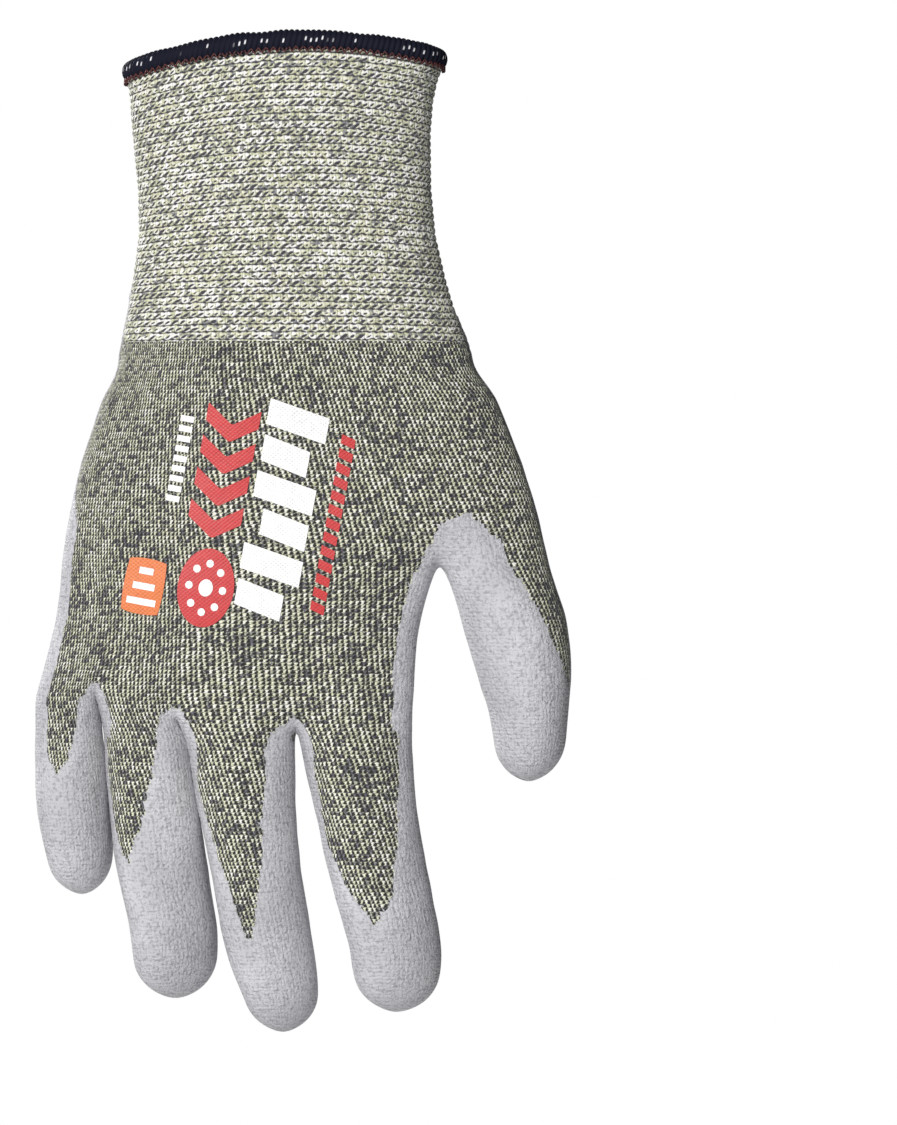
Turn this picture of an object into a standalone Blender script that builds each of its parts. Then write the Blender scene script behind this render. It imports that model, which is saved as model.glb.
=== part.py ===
"""A dipped cut-resistant work glove for the right hand, as a knitted shell with its coating, cuff and prints.

The glove hangs fingers down, as on a lowered hand. The origin is the middle of the cuff opening,
+Z runs up the forearm, +X is the thumb side and +Y the palm side. Numbers below are millimetres.
"""

import math

import bpy
import numpy as np

MM = 0.001
COLLECTION = "cut_resistant_glove"

# Fabric thicknesses.
KNIT_WALL = 1.2
CUFF_WALL = 1.6
FILM_GAP = 0.35
COAT_THICKNESS = 0.4
PRINT_GAP = 0.5
PRINT_THICKNESS = 0.25

# Every tube of a digit has 12 sides: 4 columns of faces on its back, 4 on its palm side and 2 on each edge.
DIGIT_SIDES = 12
COLUMNS = 4

# The tubes' edges lie this far to the palm side of the origin.
EDGE_Y = 0.5
SHARP_ANGLE = 50.0

# Cuff: height, left edge, right edge, depth of the back half, depth of the palm half.
CUFF_STATIONS = (
    (-3.9, -40.6, 40.3, 15.5, 15.5),
    (-9.0, -38.8, 38.6, 15.0, 15.0),
    (-20.0, -37.4, 37.2, 14.5, 14.5),
    (-45.0, -36.4, 38.8, 14.5, 14.5),
    (-62.0, -38.2, 43.0, 14.0, 15.0),
    (-76.0, -41.2, 47.4, 13.5, 15.0),
)
CUFF_TOP = -4.3
CUFF_ARCH = 5.5
ARCH_HALF_WIDTH = 41.0
CUFF_SIDES = 28
CUFF_ROWS = 7
WRIST_FILM_ROW = 4
OVAL_POWER = 2.5

# Hem: an overlocked edge laid round the rim, and the needle thread along its lower edge.
HEM_WIDTH = 3.4
HEM_HEIGHT = 3.6
THREAD_RADIUS = 0.35
THREAD_DROP = 1.2
ELASTIC_TURNS = 6
ELASTIC_TOP = -10.0
ELASTIC_BOTTOM = -60.0
ELASTIC_GAP = 0.6

# Wrist hinge, a little below the change from cuff knit to hand knit.
WRIST_Z = -76.0
WRIST_RANGE = (-40.0, 50.0)
HINGE_CLEARANCE = 0.6

# Body of the hand: height, left edge, right edge, depth of the back half, depth of the palm half.
HAND_STATIONS = (
    (-76.0, -41.6, 47.8, 13.0, 15.0),
    (-92.0, -47.2, 56.2, 12.5, 16.5),
    (-110.0, -52.6, 62.6, 12.0, 17.0),
    (-128.0, -55.8, 66.5, 11.5, 15.0),
)
FINGER_PALM_STATIONS = (
    (-146.0, -58.4, 33.6, 11.0, 13.0),
    (-166.0, -61.4, 31.6, 9.0, 10.0),
)
# Where the digits' columns meet across the whole hand, as shares of its width at the crotch.
BLOCK_SHARES = (0.0, 0.12, 0.285, 0.537, 0.772, 1.0)
CROTCH_Z = -129.0
WEB_Z = (-162.0, -163.0, -171.0, -173.0, -168.0)
WEB_LIFT = 4.0
WEB_DEPTH = 6.0
EDGE_INSET = 1.2

# Each digit: stations of height, left edge and right edge, then its tip, thickness, curl and hinges.
FINGER_AXIS = (1.0, 0.0, 0.0)
KNUCKLE_RANGE = (-10.0, 70.0)
MIDDLE_RANGE = (-5.0, 75.0)
THUMB_AXIS_TURN = 20.0
THUMB_BASE_RANGE = (-10.0, 30.0)
THUMB_TIP_RANGE = (-5.0, 45.0)
DIGITS = {
    "little": {
        "stations": (
            (-164.0, -61.4, -47.9),
            (-176.0, -62.0, -46.9),
            (-190.0, -61.5, -45.3),
            (-203.0, -58.6, -44.0),
        ),
        "tip": -213.0,
        "depth": 7.6,
        "hinges": (-174.0, -191.0),
        "knit_point": -184.0,
    },
    "ring": {
        "stations": (
            (-170.0, -44.7, -27.2),
            (-184.0, -43.3, -23.8),
            (-205.0, -41.8, -19.7),
            (-224.0, -38.6, -18.6),
        ),
        "tip": -239.0,
        "depth": 8.8,
        "hinges": (-181.0, -204.0),
        "knit_point": -206.0,
    },
    "middle": {
        "stations": (
            (-175.0, -25.0, 2.6),
            (-186.0, -21.4, 2.6),
            (-205.0, -17.5, 4.2),
            (-232.0, -14.6, 8.0),
        ),
        "tip": -248.5,
        "depth": 9.3,
        "hinges": (-184.0, -211.0),
        "knit_point": -226.0,
    },
    "index": {
        "stations": (
            (-173.0, 5.0, 31.2),
            (-186.0, 6.8, 32.3),
            (-205.0, 10.6, 35.0),
            (-228.0, 18.0, 38.8),
        ),
        "tip": -243.3,
        "depth": 9.2,
        "hinges": (-183.0, -208.0),
        "knit_point": -220.0,
    },
    "thumb": {
        "stations": (
            (-131.0, 42.5, 67.0),
            (-141.0, 45.0, 70.6),
            (-151.0, 47.6, 72.0),
            (-170.0, 52.6, 71.4),
        ),
        "tip": -185.0,
        "depth": 10.5,
        "hinges": (-143.0, -163.0),
        "knit_point": -160.0,
    },
}
FINGERS = ("little", "ring", "middle", "index")
CURL = 7.0
TIP_ROUNDNESS = 11.0
# Rows of a digit's end: below its lower hinge, and above its tip. Past WEDGE_STEP above its point, the knit
# wedge is as wide as the digit's back.
TIP_START = 9.0
TIP_ROWS = 3
TIP_HEIGHTS = (5.0, 2.4, 0.7)
WEDGE_STEP = 12.0

# Prints on the back of the hand, each a patch in columns across the hand and heights down it.
PRINTS = {
    "print_white_bars": {"columns": (7.4, 10.2), "heights": (-89.0, -146.0), "colour": (0.93, 0.93, 0.93)},
    "print_red_bars": {"columns": (5.1, 7.1), "heights": (-88.0, -126.0), "colour": (0.72, 0.09, 0.08)},
    "print_round_mark": {"columns": (4.6, 6.6), "heights": (-128.0, -146.0), "colour": (0.72, 0.09, 0.08)},
    "print_level_badge": {"columns": (2.0, 3.7), "heights": (-129.0, -142.0), "colour": (0.85, 0.27, 0.06)},
    "print_white_rule": {"columns": (4.2, 4.8), "heights": (-92.0, -114.0), "colour": (0.93, 0.93, 0.93)},
    "print_red_rule": {"columns": (10.9, 11.6), "heights": (-98.0, -142.0), "colour": (0.72, 0.09, 0.08)},
}

# Part colours: base colour, roughness, metallic.
KNIT_FINISH = ((0.40, 0.40, 0.27), 0.95, 0.0)
CUFF_FINISH = ((0.52, 0.52, 0.40), 0.95, 0.0)
COAT_FINISH = ((0.55, 0.55, 0.58), 0.55, 0.0)
HEM_FINISH = ((0.012, 0.014, 0.03), 0.8, 0.0)
THREAD_FINISH = ((0.30, 0.05, 0.03), 0.7, 0.0)
ELASTIC_FINISH = ((0.85, 0.85, 0.82), 0.6, 0.0)


def clear_scene():
    for old in list(bpy.data.objects):
        bpy.data.objects.remove(old)


def part_collection():
    collection = bpy.data.collections.new(COLLECTION)
    bpy.context.scene.collection.children.link(collection)
    return collection


def finish_material(name, colour, roughness, metallic):
    material = bpy.data.materials.new(name)
    material.use_nodes = True
    shader = material.node_tree.nodes["Principled BSDF"]
    shader.inputs["Base Color"].default_value = (*colour, 1.0)
    shader.inputs["Roughness"].default_value = roughness
    shader.inputs["Metallic"].default_value = metallic
    material.diffuse_color = (*colour, 1.0)
    return material


class Loft:
    """Rings of points joined by quads. Rings run left, back, right, palm, and later rings lie lower."""

    def __init__(self):
        self.points = []
        self.faces = []

    def ring(self, points):
        first = len(self.points)
        self.points.extend(tuple(p) for p in points)
        return list(range(first, len(self.points)))

    def bridge(self, upper, lower, keep=None):
        for i in range(len(upper)):
            j = (i + 1) % len(upper)
            quad = (upper[i], lower[i], lower[j], upper[j])
            if keep is None or keep(i, self.middle(quad)):
                self.faces.append(quad)

    def cap(self, ring, tip):
        pole = self.ring([tip])[0]
        for i in range(len(ring)):
            self.faces.append((ring[i], pole, ring[(i + 1) % len(ring)]))

    def middle(self, face):
        return np.mean([self.points[i] for i in face], axis=0)

    def used(self):
        """The points and faces with points that no face uses left out."""
        kept = sorted({i for face in self.faces for i in face})
        place = {old: new for new, old in enumerate(kept)}
        points = [[c * MM for c in self.points[i]] for i in kept]
        return points, [tuple(place[i] for i in face) for face in self.faces]


def add_part(name, points, faces, finish, collection, parent, origin):
    """One named object with its origin at a point in millimetres and its mesh round it."""
    offset = np.array(origin) * MM
    mesh = bpy.data.meshes.new(name)
    mesh.from_pydata((np.array(points) - offset).tolist(), [], faces)
    mesh.shade_smooth()
    mesh.set_sharp_from_angle(angle=math.radians(SHARP_ANGLE))
    mesh.materials.append(finish_material(name, *finish))
    obj = bpy.data.objects.new(name, mesh)
    obj.parent = parent
    obj.location = offset - np.array(parent["axis_point"] if parent else (0.0, 0.0, 0.0))
    collection.objects.link(obj)
    return obj


def thicken(obj, thickness, outward):
    shell = obj.modifiers.new("wall", "SOLIDIFY")
    shell.thickness = thickness * MM
    shell.offset = 1.0 if outward else -1.0
    shell.use_even_offset = True
    shell.use_quality_normals = True


def add_joint_empty(name, point, parent, collection):
    """An empty on a joint's axis. The pieces that turn on that axis are its children."""
    empty = bpy.data.objects.new(name, None)
    empty.empty_display_size = 0.02
    place = np.array(point) * MM
    empty["axis_point"] = place.tolist()
    empty.parent = parent
    empty.location = place - np.array(parent["axis_point"] if parent else (0.0, 0.0, 0.0))
    collection.objects.link(empty)
    return empty


def along(stations, z, column):
    """One column of a table of stations, read at a height."""
    heights = [row[0] for row in stations]
    return float(np.interp(-z, [-h for h in heights], [row[column] for row in stations]))


def oval(u):
    """Depth of a flattened oval, as a share, at u from -1 at its left edge to 1 at its right."""
    return (1.0 - min(abs(u), 1.0) ** OVAL_POWER) ** (1.0 / OVAL_POWER)


def notch(q, spread):
    """How far a tube's end stays back from its hinge at q, the distance to the side that closes."""
    opening, closing = (math.tan(math.radians(abs(angle) / 2)) for angle in spread)
    return HINGE_CLEARANCE + max(q, 0.0) * closing + max(-q, 0.0) * opening


def cuff_ring(z, grow):
    """Points of the oval cuff at one height, without the arch of its rim."""
    left, right, back, palm = (along(CUFF_STATIONS, z, i) for i in range(1, 5))
    middle = (left + right) / 2
    half = (right - left) / 2 + grow
    points = []
    for k in range(CUFF_SIDES):
        angle = math.pi + 2 * math.pi * k / CUFF_SIDES
        c, s = math.cos(angle), math.sin(angle)
        depth = (back if s < 0 else palm) + grow
        share = abs(c) ** (2 / OVAL_POWER), abs(s) ** (2 / OVAL_POWER)
        points.append([middle + math.copysign(half * share[0], c), math.copysign(depth * share[1], s), z])
    return points


def arch(x):
    """How much higher the rim stands over the middle of the cuff than at its two ends."""
    return CUFF_ARCH * max(0.0, 1.0 - (x / ARCH_HALF_WIDTH) ** 2)


def cuff_rows(grow, first=0):
    """Rings down the cuff: the top follows the rim's arch and the bottom is notched for the wrist hinge."""
    rows = []
    for t in np.linspace(0.0, 1.0, CUFF_ROWS)[first:]:
        ring = cuff_ring(CUFF_TOP + (WRIST_Z - CUFF_TOP) * t, grow)
        for p in ring:
            top = CUFF_TOP + arch(p[0])
            bottom = WRIST_Z + notch(p[1], WRIST_RANGE)
            p[2] = top * (1 - t) + bottom * t
        rows.append(ring)
    return rows


def build_cuff(collection, root):
    loft = Loft()
    rings = [loft.ring(r) for r in cuff_rows(0.0)]
    for upper, lower in zip(rings, rings[1:]):
        loft.bridge(upper, lower)
    cuff = add_part("cuff_knit", *loft.used(), CUFF_FINISH, collection, root, (0, 0, 0))
    thicken(cuff, CUFF_WALL, outward=False)


def build_wrist_coating(collection, root):
    """The top of the dip, which reaches up over the lower cuff on the palm side."""
    loft = Loft()
    rings = [loft.ring(r) for r in cuff_rows(FILM_GAP, WRIST_FILM_ROW)]
    for upper, lower in zip(rings, rings[1:]):
        loft.bridge(upper, lower, keep=lambda i, p: p[1] > 1.0)
    film = add_part("coating_wrist", *loft.used(), COAT_FINISH, collection, root, (0, 0, 0))
    thicken(film, COAT_THICKNESS, outward=True)


def ring_profile(centre, inward, z):
    """Seven points of the hem's cross-section round one place on the rim."""
    half = HEM_WIDTH / 2
    profile = ((0.0, 0.0), (0.75, 0.15), (1.0, 0.5), (0.6, 1.0), (-0.6, 1.0), (-1.0, 0.5), (-0.75, 0.15))
    return [
        (centre[0] - inward[0] * half * across, centre[1] - inward[1] * half * across, z + HEM_HEIGHT * up)
        for across, up in profile
    ]


def build_hem(collection, root):
    """A closed ring whose section sits on the cuff's top edge."""
    rim = np.array(cuff_ring(CUFF_TOP, -CUFF_WALL / 2))
    nxt, previous = np.roll(rim, -1, axis=0), np.roll(rim, 1, axis=0)
    tangent = nxt - previous
    tangent /= np.linalg.norm(tangent[:, :2], axis=1)[:, None]
    loft = Loft()
    sections = []
    for place, t in zip(rim, tangent):
        inward = (-t[1], t[0])
        sections.append(loft.ring(ring_profile(place, inward, CUFF_TOP + FILM_GAP + arch(place[0]))))
    for a, b in zip(sections, sections[1:] + sections[:1]):
        loft.bridge(a, b)
    add_part("hem_overlock", *loft.used(), HEM_FINISH, collection, root, (0, 0, 0))


def add_yarn(name, route, radius, cyclic, finish, collection, root):
    """A round yarn along a route of points in millimetres."""
    curve = bpy.data.curves.new(name, "CURVE")
    curve.dimensions = "3D"
    curve.bevel_depth = radius * MM
    curve.bevel_resolution = 1
    curve.use_fill_caps = True
    spline = curve.splines.new("POLY")
    spline.points.add(len(route) - 1)
    flat = [c for p in route for c in (p[0] * MM, p[1] * MM, p[2] * MM, 1.0)]
    spline.points.foreach_set("co", flat)
    spline.use_cyclic_u = cyclic
    curve.materials.append(finish_material(name, *finish))
    obj = bpy.data.objects.new(name, curve)
    obj.parent = root
    collection.objects.link(obj)
    return obj


def build_needle_thread(collection, root):
    """The overlock's needle thread, laid round the cuff just under the hem."""
    grow = FILM_GAP + THREAD_RADIUS
    route = [(x, y, z - THREAD_DROP + arch(x)) for x, y, z in cuff_ring(CUFF_TOP, grow)]
    add_yarn("hem_needle_thread", route, THREAD_RADIUS, True, THREAD_FINISH, collection, root)


def build_elastic(collection, root):
    """The covered elastic yarn laid into the cuff, one yarn wound down its inner face."""
    steps = ELASTIC_TURNS * CUFF_SIDES // 2
    grow = -(CUFF_WALL + ELASTIC_GAP + THREAD_RADIUS)
    route = []
    for k in range(steps + 1):
        z = ELASTIC_TOP + (ELASTIC_BOTTOM - ELASTIC_TOP) * k / steps
        ring = cuff_ring(z, grow)
        route.append(ring[(2 * k) % CUFF_SIDES])
    add_yarn("cuff_elastic_yarn", route, THREAD_RADIUS, False, ELASTIC_FINISH, collection, root)


def thumb_axis():
    turn = math.radians(THUMB_AXIS_TURN)
    return (math.cos(turn), math.sin(turn), 0.0)


def closing_distance(name, point, hinge):
    """Distance of a point to the palm side of a digit's hinge axis."""
    axis = thumb_axis() if name == "thumb" else FINGER_AXIS
    return (point[1] - hinge[1]) * axis[0] - (point[0] - hinge[0]) * axis[1]


def hinge_ranges(name):
    return (THUMB_BASE_RANGE, THUMB_TIP_RANGE) if name == "thumb" else (KNUCKLE_RANGE, MIDDLE_RANGE)


def digit_centre(name, z):
    """Middle of a digit at one height: its two edges' mean, curled towards the palm further down."""
    digit = DIGITS[name]
    top = digit["stations"][0][0]
    share = max(0.0, (top - z) / (top - digit["tip"]))
    x = (along(digit["stations"], z, 1) + along(digit["stations"], z, 2)) / 2
    return x, EDGE_Y + CURL * share ** 2


def digit_ring(name, z, grow):
    """Twelve points round a digit at one height."""
    digit = DIGITS[name]
    x, y = digit_centre(name, z)
    half = (along(digit["stations"], z, 2) - along(digit["stations"], z, 1)) / 2
    from_tip = min(max((z - digit["tip"]) / TIP_ROUNDNESS, 0.0), 1.0)
    round_off = math.sqrt(1.0 - (1.0 - from_tip) ** 2)
    points = []
    for k in range(DIGIT_SIDES):
        angle = math.pi - 2 * math.pi * k / DIGIT_SIDES
        across = (half * round_off + grow) * math.cos(angle)
        deep = (digit["depth"] * round_off + grow) * math.sin(angle)
        points.append([x + across, y - deep, z])
    return points


def end_ring(name, which, above, grow):
    """A ring beside hinge number which, notched so that the tubes on both sides clear each other."""
    z = DIGITS[name]["hinges"][which]
    spread = hinge_ranges(name)[which]
    hinge = digit_centre(name, z)
    points = digit_ring(name, z, grow)
    for p in points:
        back_off = notch(closing_distance(name, p, hinge), spread)
        p[2] = z + back_off if above else z - back_off
    return points


def knit_shows(name):
    """True for a face of the coating that is left out, where the knit wedge shows on a digit's back."""
    point = DIGITS[name]["knit_point"]

    def shows(i, p):
        inner = i in (2, 3) and p[2] > point
        outer = i in (1, 4) and p[2] > point + WEDGE_STEP
        return inner or outer

    return shows


def build_digit(name, collection, hand):
    """The two knit tubes of a digit and their two coatings, each pair on its own joint empty."""
    digit = DIGITS[name]
    upper_z, lower_z = digit["hinges"]
    shows = knit_shows(name)
    base = add_joint_empty(name + "_base_axis", (*digit_centre(name, upper_z), upper_z), hand, collection)
    mid = add_joint_empty(name + "_middle_axis", (*digit_centre(name, lower_z), lower_z), base, collection)
    tip_rows = np.linspace(lower_z - TIP_START, digit["tip"] + TIP_HEIGHTS[0], TIP_ROWS)
    cap_rows = [digit["tip"] + height for height in TIP_HEIGHTS[1:]]
    for grow, kind in ((0.0, "knit"), (FILM_GAP, "coating")):
        finish = KNIT_FINISH if kind == "knit" else COAT_FINISH
        keep = None if kind == "knit" else (lambda i, p: not shows(i, p))
        wall = KNIT_WALL if kind == "knit" else COAT_THICKNESS
        middle_z = (upper_z + lower_z) / 2
        loft = Loft()
        rings = [end_ring(name, 0, False, grow)]
        rings += [digit_ring(name, middle_z, grow), end_ring(name, 1, True, grow)]
        indices = [loft.ring(r) for r in rings]
        for upper, lower in zip(indices, indices[1:]):
            loft.bridge(upper, lower, keep)
        origin = (*digit_centre(name, upper_z), upper_z)
        part = add_part(f"{name}_{kind}_lower", *loft.used(), finish, collection, base, origin)
        thicken(part, wall, outward=kind == "coating")
        loft = Loft()
        rings = [end_ring(name, 1, False, grow)]
        rings += [digit_ring(name, z, grow) for z in (*tip_rows, *cap_rows)]
        indices = [loft.ring(r) for r in rings]
        for upper, lower in zip(indices, indices[1:]):
            loft.bridge(upper, lower, keep)
        loft.cap(indices[-1], (*digit_centre(name, digit["tip"]), digit["tip"] - grow))
        origin = (*digit_centre(name, lower_z), lower_z)
        part = add_part(f"{name}_{kind}_upper", *loft.used(), finish, collection, mid, origin)
        thicken(part, wall, outward=kind == "coating")


def block_edges(left, right, blocks):
    """Where the digits' columns meet across a row of the hand, for all five digits or the four fingers."""
    shares = np.array(BLOCK_SHARES[: blocks + 1]) / BLOCK_SHARES[blocks]
    return left + (right - left) * shares


def hand_row(station, blocks, grow, edge_z=None, dips=()):
    """One ring of the hand: left edge, back columns, right edge, palm columns.

    Columns run evenly between the digits' meeting lines. At a meeting line listed in dips the fabric
    sinks to WEB_DEPTH, as it does between two digits. edge_z gives the height at each meeting line.
    """
    z, left, right, back, palm = station
    edges = block_edges(left - grow, right + grow, blocks)
    heights = [z] * (blocks + 1) if edge_z is None else edge_z
    column = np.arange(blocks * COLUMNS + 1) / COLUMNS
    x = np.interp(column, range(blocks + 1), edges)
    level = np.interp(column, range(blocks + 1), heights)
    x[0] += EDGE_INSET
    x[-1] -= EDGE_INSET
    u = (2 * x - left - right) / (right - left + 2 * grow)
    full = np.array([oval(value) for value in u])
    sink = np.zeros(len(column))
    for meeting in dips:
        sink = np.maximum(sink, np.clip(1 - abs(column - meeting) * 2, 0, 1))
    sides = []
    for depth, sign in ((back, -1), (palm, 1)):
        y = full * (depth + grow)
        y = y * (1 - sink) + np.minimum(y, WEB_DEPTH + grow) * sink
        sides.append(np.stack([x, sign * y, level + WEB_LIFT * sink], axis=1))
    left_point = (edges[0], EDGE_Y, heights[0])
    right_point = (edges[-1], EDGE_Y, heights[-1])
    return [left_point, *sides[0], right_point, *sides[1][::-1]]


def wrist_row(grow):
    row = hand_row(HAND_STATIONS[0], 5, grow)
    return [(x, y, WRIST_Z - notch(y, WRIST_RANGE)) for x, y, z in row]


def sub_ring(row, first, last, left_point, right_point):
    """The ring of one digit, or of the four fingers, cut out of a wider row of the hand."""
    count = (len(row) - 4) // 2
    back = row[1 : count + 2]
    palm = row[count + 3 :][::-1]
    ends = slice(first * COLUMNS, last * COLUMNS + 1)
    return [left_point, *back[ends], right_point, *palm[ends][::-1]]


def hand_loft(grow, keep_palm, keep_fingers, keep_digit):
    """The hand: wrist to crotch, crotch to webs, and a short stub of each digit down to its first hinge."""
    loft = Loft()
    rows = [wrist_row(grow)]
    rows += [hand_row(station, 5, grow) for station in HAND_STATIONS[1:-1]]
    rows.append(hand_row(HAND_STATIONS[-1], 5, grow, dips=(4,)))
    rings = [loft.ring(row) for row in rows]
    for upper, lower in zip(rings, rings[1:]):
        loft.bridge(upper, lower, keep_palm)
    wide = rings[-1]
    crotch_x = block_edges(HAND_STATIONS[-1][1], HAND_STATIONS[-1][2], 5)[4]
    crotch = loft.ring([(crotch_x, EDGE_Y, CROTCH_Z - grow)])[0]
    four = sub_ring(wide, 0, 4, wide[0], crotch)
    thumb = sub_ring(wide, 4, 5, crotch, wide[5 * COLUMNS + 2])
    middle_row = hand_row(FINGER_PALM_STATIONS[0], 4, grow)
    web_row = hand_row(FINGER_PALM_STATIONS[1], 4, grow, WEB_Z, dips=(1, 2, 3))
    narrow = [loft.ring(row) for row in (middle_row, web_row)]
    loft.bridge(four, narrow[0], keep_fingers)
    loft.bridge(narrow[0], narrow[1], keep_fingers)
    webs = narrow[1]
    web_x = block_edges(FINGER_PALM_STATIONS[1][1], FINGER_PALM_STATIONS[1][2], 4)
    between = [webs[0]]
    between += loft.ring([(web_x[i], EDGE_Y, WEB_Z[i] - grow) for i in (1, 2, 3)])
    between.append(webs[4 * COLUMNS + 2])
    starts = [("thumb", thumb)]
    for i, name in enumerate(FINGERS):
        starts.append((name, sub_ring(webs, i, i + 1, between[i], between[i + 1])))
    for name, start in starts:
        end = loft.ring(end_ring(name, 0, True, grow))
        loft.bridge(start, end, keep_digit(name))
    return loft


def build_hand(collection, root):
    wrist = add_joint_empty("wrist_axis", (0.0, 0.0, WRIST_Z), root, collection)
    loft = hand_loft(0.0, None, None, lambda name: None)
    knit = add_part("hand_knit", *loft.used(), KNIT_FINISH, collection, wrist, (0, 0, WRIST_Z))
    thicken(knit, KNIT_WALL, outward=False)
    crotch_edge = 4 * COLUMNS + 2
    loft = hand_loft(
        FILM_GAP,
        lambda i, p: p[1] > 0.0,
        lambda i, p: p[1] > 0.0 and i != crotch_edge,
        lambda name: lambda i, p: i in (7, 8, 9, 10),
    )
    film = add_part("coating_palm", *loft.used(), COAT_FINISH, collection, wrist, (0, 0, WRIST_Z))
    thicken(film, COAT_THICKNESS, outward=True)
    return wrist


def back_of_hand(column, z):
    """A point on the back of the hand, at a column coordinate over all five digits and a height."""
    left, right, back = (along(HAND_STATIONS, z, i) for i in (1, 2, 3))
    blocks = 5
    if z < HAND_STATIONS[-1][0]:
        crotch_row = (HAND_STATIONS[-1][0], *four_finger_edges(), HAND_STATIONS[-1][3])
        stations = (crotch_row, *FINGER_PALM_STATIONS)
        left, right, back = (along(stations, z, i) for i in (1, 2, 3))
        blocks = 4
    edges = block_edges(left, right, blocks)
    x = float(np.interp(column / COLUMNS, range(blocks + 1), edges))
    return x, -back * oval((2 * x - left - right) / (right - left)), z


def four_finger_edges():
    left, right = HAND_STATIONS[-1][1:3]
    return left, block_edges(left, right, 5)[4]


def build_prints(collection, wrist):
    """Thin printed films, each lying just off the back of the hand."""
    for name, patch in PRINTS.items():
        loft = Loft()
        columns = np.linspace(*patch["columns"], 4)
        heights = np.linspace(*patch["heights"], 5)
        rows = []
        for z in heights:
            points = [back_of_hand(column, z) for column in columns]
            rows.append(loft.ring([(x, y - PRINT_GAP, level) for x, y, level in points]))
        for upper, lower in zip(rows, rows[1:]):
            for i in range(len(columns) - 1):
                loft.faces.append((upper[i], lower[i], lower[i + 1], upper[i + 1]))
        finish = (patch["colour"], 0.45, 0.0)
        film = add_part(name, *loft.used(), finish, collection, wrist, (0, 0, WRIST_Z))
        thicken(film, PRINT_THICKNESS, outward=True)


def main():
    clear_scene()
    collection = part_collection()
    build_cuff(collection, None)
    build_wrist_coating(collection, None)
    build_hem(collection, None)
    build_needle_thread(collection, None)
    build_elastic(collection, None)
    wrist = build_hand(collection, None)
    build_prints(collection, wrist)
    for name in DIGITS:
        build_digit(name, collection, wrist)


main()
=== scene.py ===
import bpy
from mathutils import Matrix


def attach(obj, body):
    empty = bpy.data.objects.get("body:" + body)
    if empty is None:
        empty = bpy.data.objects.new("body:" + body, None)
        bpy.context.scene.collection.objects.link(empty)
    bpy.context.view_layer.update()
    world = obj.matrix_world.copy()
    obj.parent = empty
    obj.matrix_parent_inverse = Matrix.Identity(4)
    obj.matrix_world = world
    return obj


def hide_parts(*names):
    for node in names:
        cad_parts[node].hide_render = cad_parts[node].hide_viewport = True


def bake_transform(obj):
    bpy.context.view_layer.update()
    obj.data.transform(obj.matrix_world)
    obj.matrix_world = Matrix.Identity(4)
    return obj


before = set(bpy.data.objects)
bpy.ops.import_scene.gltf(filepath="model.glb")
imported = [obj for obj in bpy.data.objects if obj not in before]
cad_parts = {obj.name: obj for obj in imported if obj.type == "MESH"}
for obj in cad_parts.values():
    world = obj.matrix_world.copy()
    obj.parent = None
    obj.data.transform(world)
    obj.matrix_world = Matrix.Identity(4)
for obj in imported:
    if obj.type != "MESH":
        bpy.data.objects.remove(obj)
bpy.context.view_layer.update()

import math

import bmesh
import bpy
import numpy as np

mm = 0.001
sharpAngle = math.radians(55)


def smoothStep(t):
    # Three t squared less two t cubed, held between 0 and 1.
    t = np.clip(t, 0.0, 1.0)
    return t * t * (3.0 - 2.0 * t)


def readTable(table, key, column):
    # One column of a table, read at a key that falls down the table's first column.
    rows = np.array(table, float)
    return np.interp(-np.asarray(key, float), -rows[:, 0], rows[:, column])


def ripple(points, scale, seed, waves=14):
    # Sum of sine waves in seeded directions, about 1 high, with a wavelength near 6.3 scales.
    draw = np.random.default_rng(seed)
    directions = unit(draw.normal(size=(waves, 3)))
    stretch = draw.uniform(0.6, 1.5, waves)
    phase = draw.uniform(0.0, 2 * math.pi, waves)
    return np.sin(points @ directions.T / scale * stretch + phase).sum(axis=1) / math.sqrt(waves)


def unit(vectors):
    return vectors / np.maximum(np.linalg.norm(vectors, axis=1), 1e-9)[:, None]


def pull(collection, key, width=1, kind=float):
    # One attribute of every item of a mesh's collection, as a flat array.
    values = np.empty(len(collection) * width, kind)
    collection.foreach_get(key, values)
    return values


def addObject(name, data):
    thing = bpy.data.objects.new(name, data)
    bpy.context.scene.collection.objects.link(thing)
    return thing


def addMesh(name, points, faces, uv=None):
    # Points in millimetres, faces as an array or a list, uv one pair for each point.
    mesh = bpy.data.meshes.new(name)
    faceList = faces.tolist() if isinstance(faces, np.ndarray) else faces
    mesh.from_pydata((np.asarray(points) * mm).tolist(), [], faceList)
    if uv is not None:
        corners = pull(mesh.loops, "vertex_index", kind=np.int32)
        layer = mesh.uv_layers.new(name="UVMap")
        layer.uv.foreach_set("vector", np.asarray(uv, np.float32)[corners].ravel())
    mesh.shade_smooth()
    return addObject(name, mesh)


def settle(piece):
    # Puts the result of the modifiers into the mesh.
    graph = bpy.context.evaluated_depsgraph_get()
    final = piece.evaluated_get(graph)
    mesh = bpy.data.meshes.new_from_object(final, preserve_all_data_layers=True, depsgraph=graph)
    old = piece.data
    piece.modifiers.clear()
    piece.data = mesh
    bpy.data.meshes.remove(old)
    return piece


def giveWall(piece, thickness, offset=-1.0):
    wall = piece.modifiers.new("wall", "SOLIDIFY")
    wall.thickness = thickness * mm
    wall.offset = offset
    settle(piece)
    piece.data.set_sharp_from_angle(angle=sharpAngle)
    return piece


def gridFaces(rows, columns, wrapColumns=True, wrapRows=False):
    # Quads of a grid of rows by columns, joined round where it wraps.
    r = np.arange(rows if wrapRows else rows - 1)
    c = np.arange(columns if wrapColumns else columns - 1)
    r, c = np.meshgrid(r, c, indexing="ij")
    r, c = r.ravel(), c.ravel()
    here, down, right = r * columns, (r + 1) % rows * columns, (c + 1) % columns
    return np.stack([here + c, down + c, down + right, here + right], axis=1)


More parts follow.
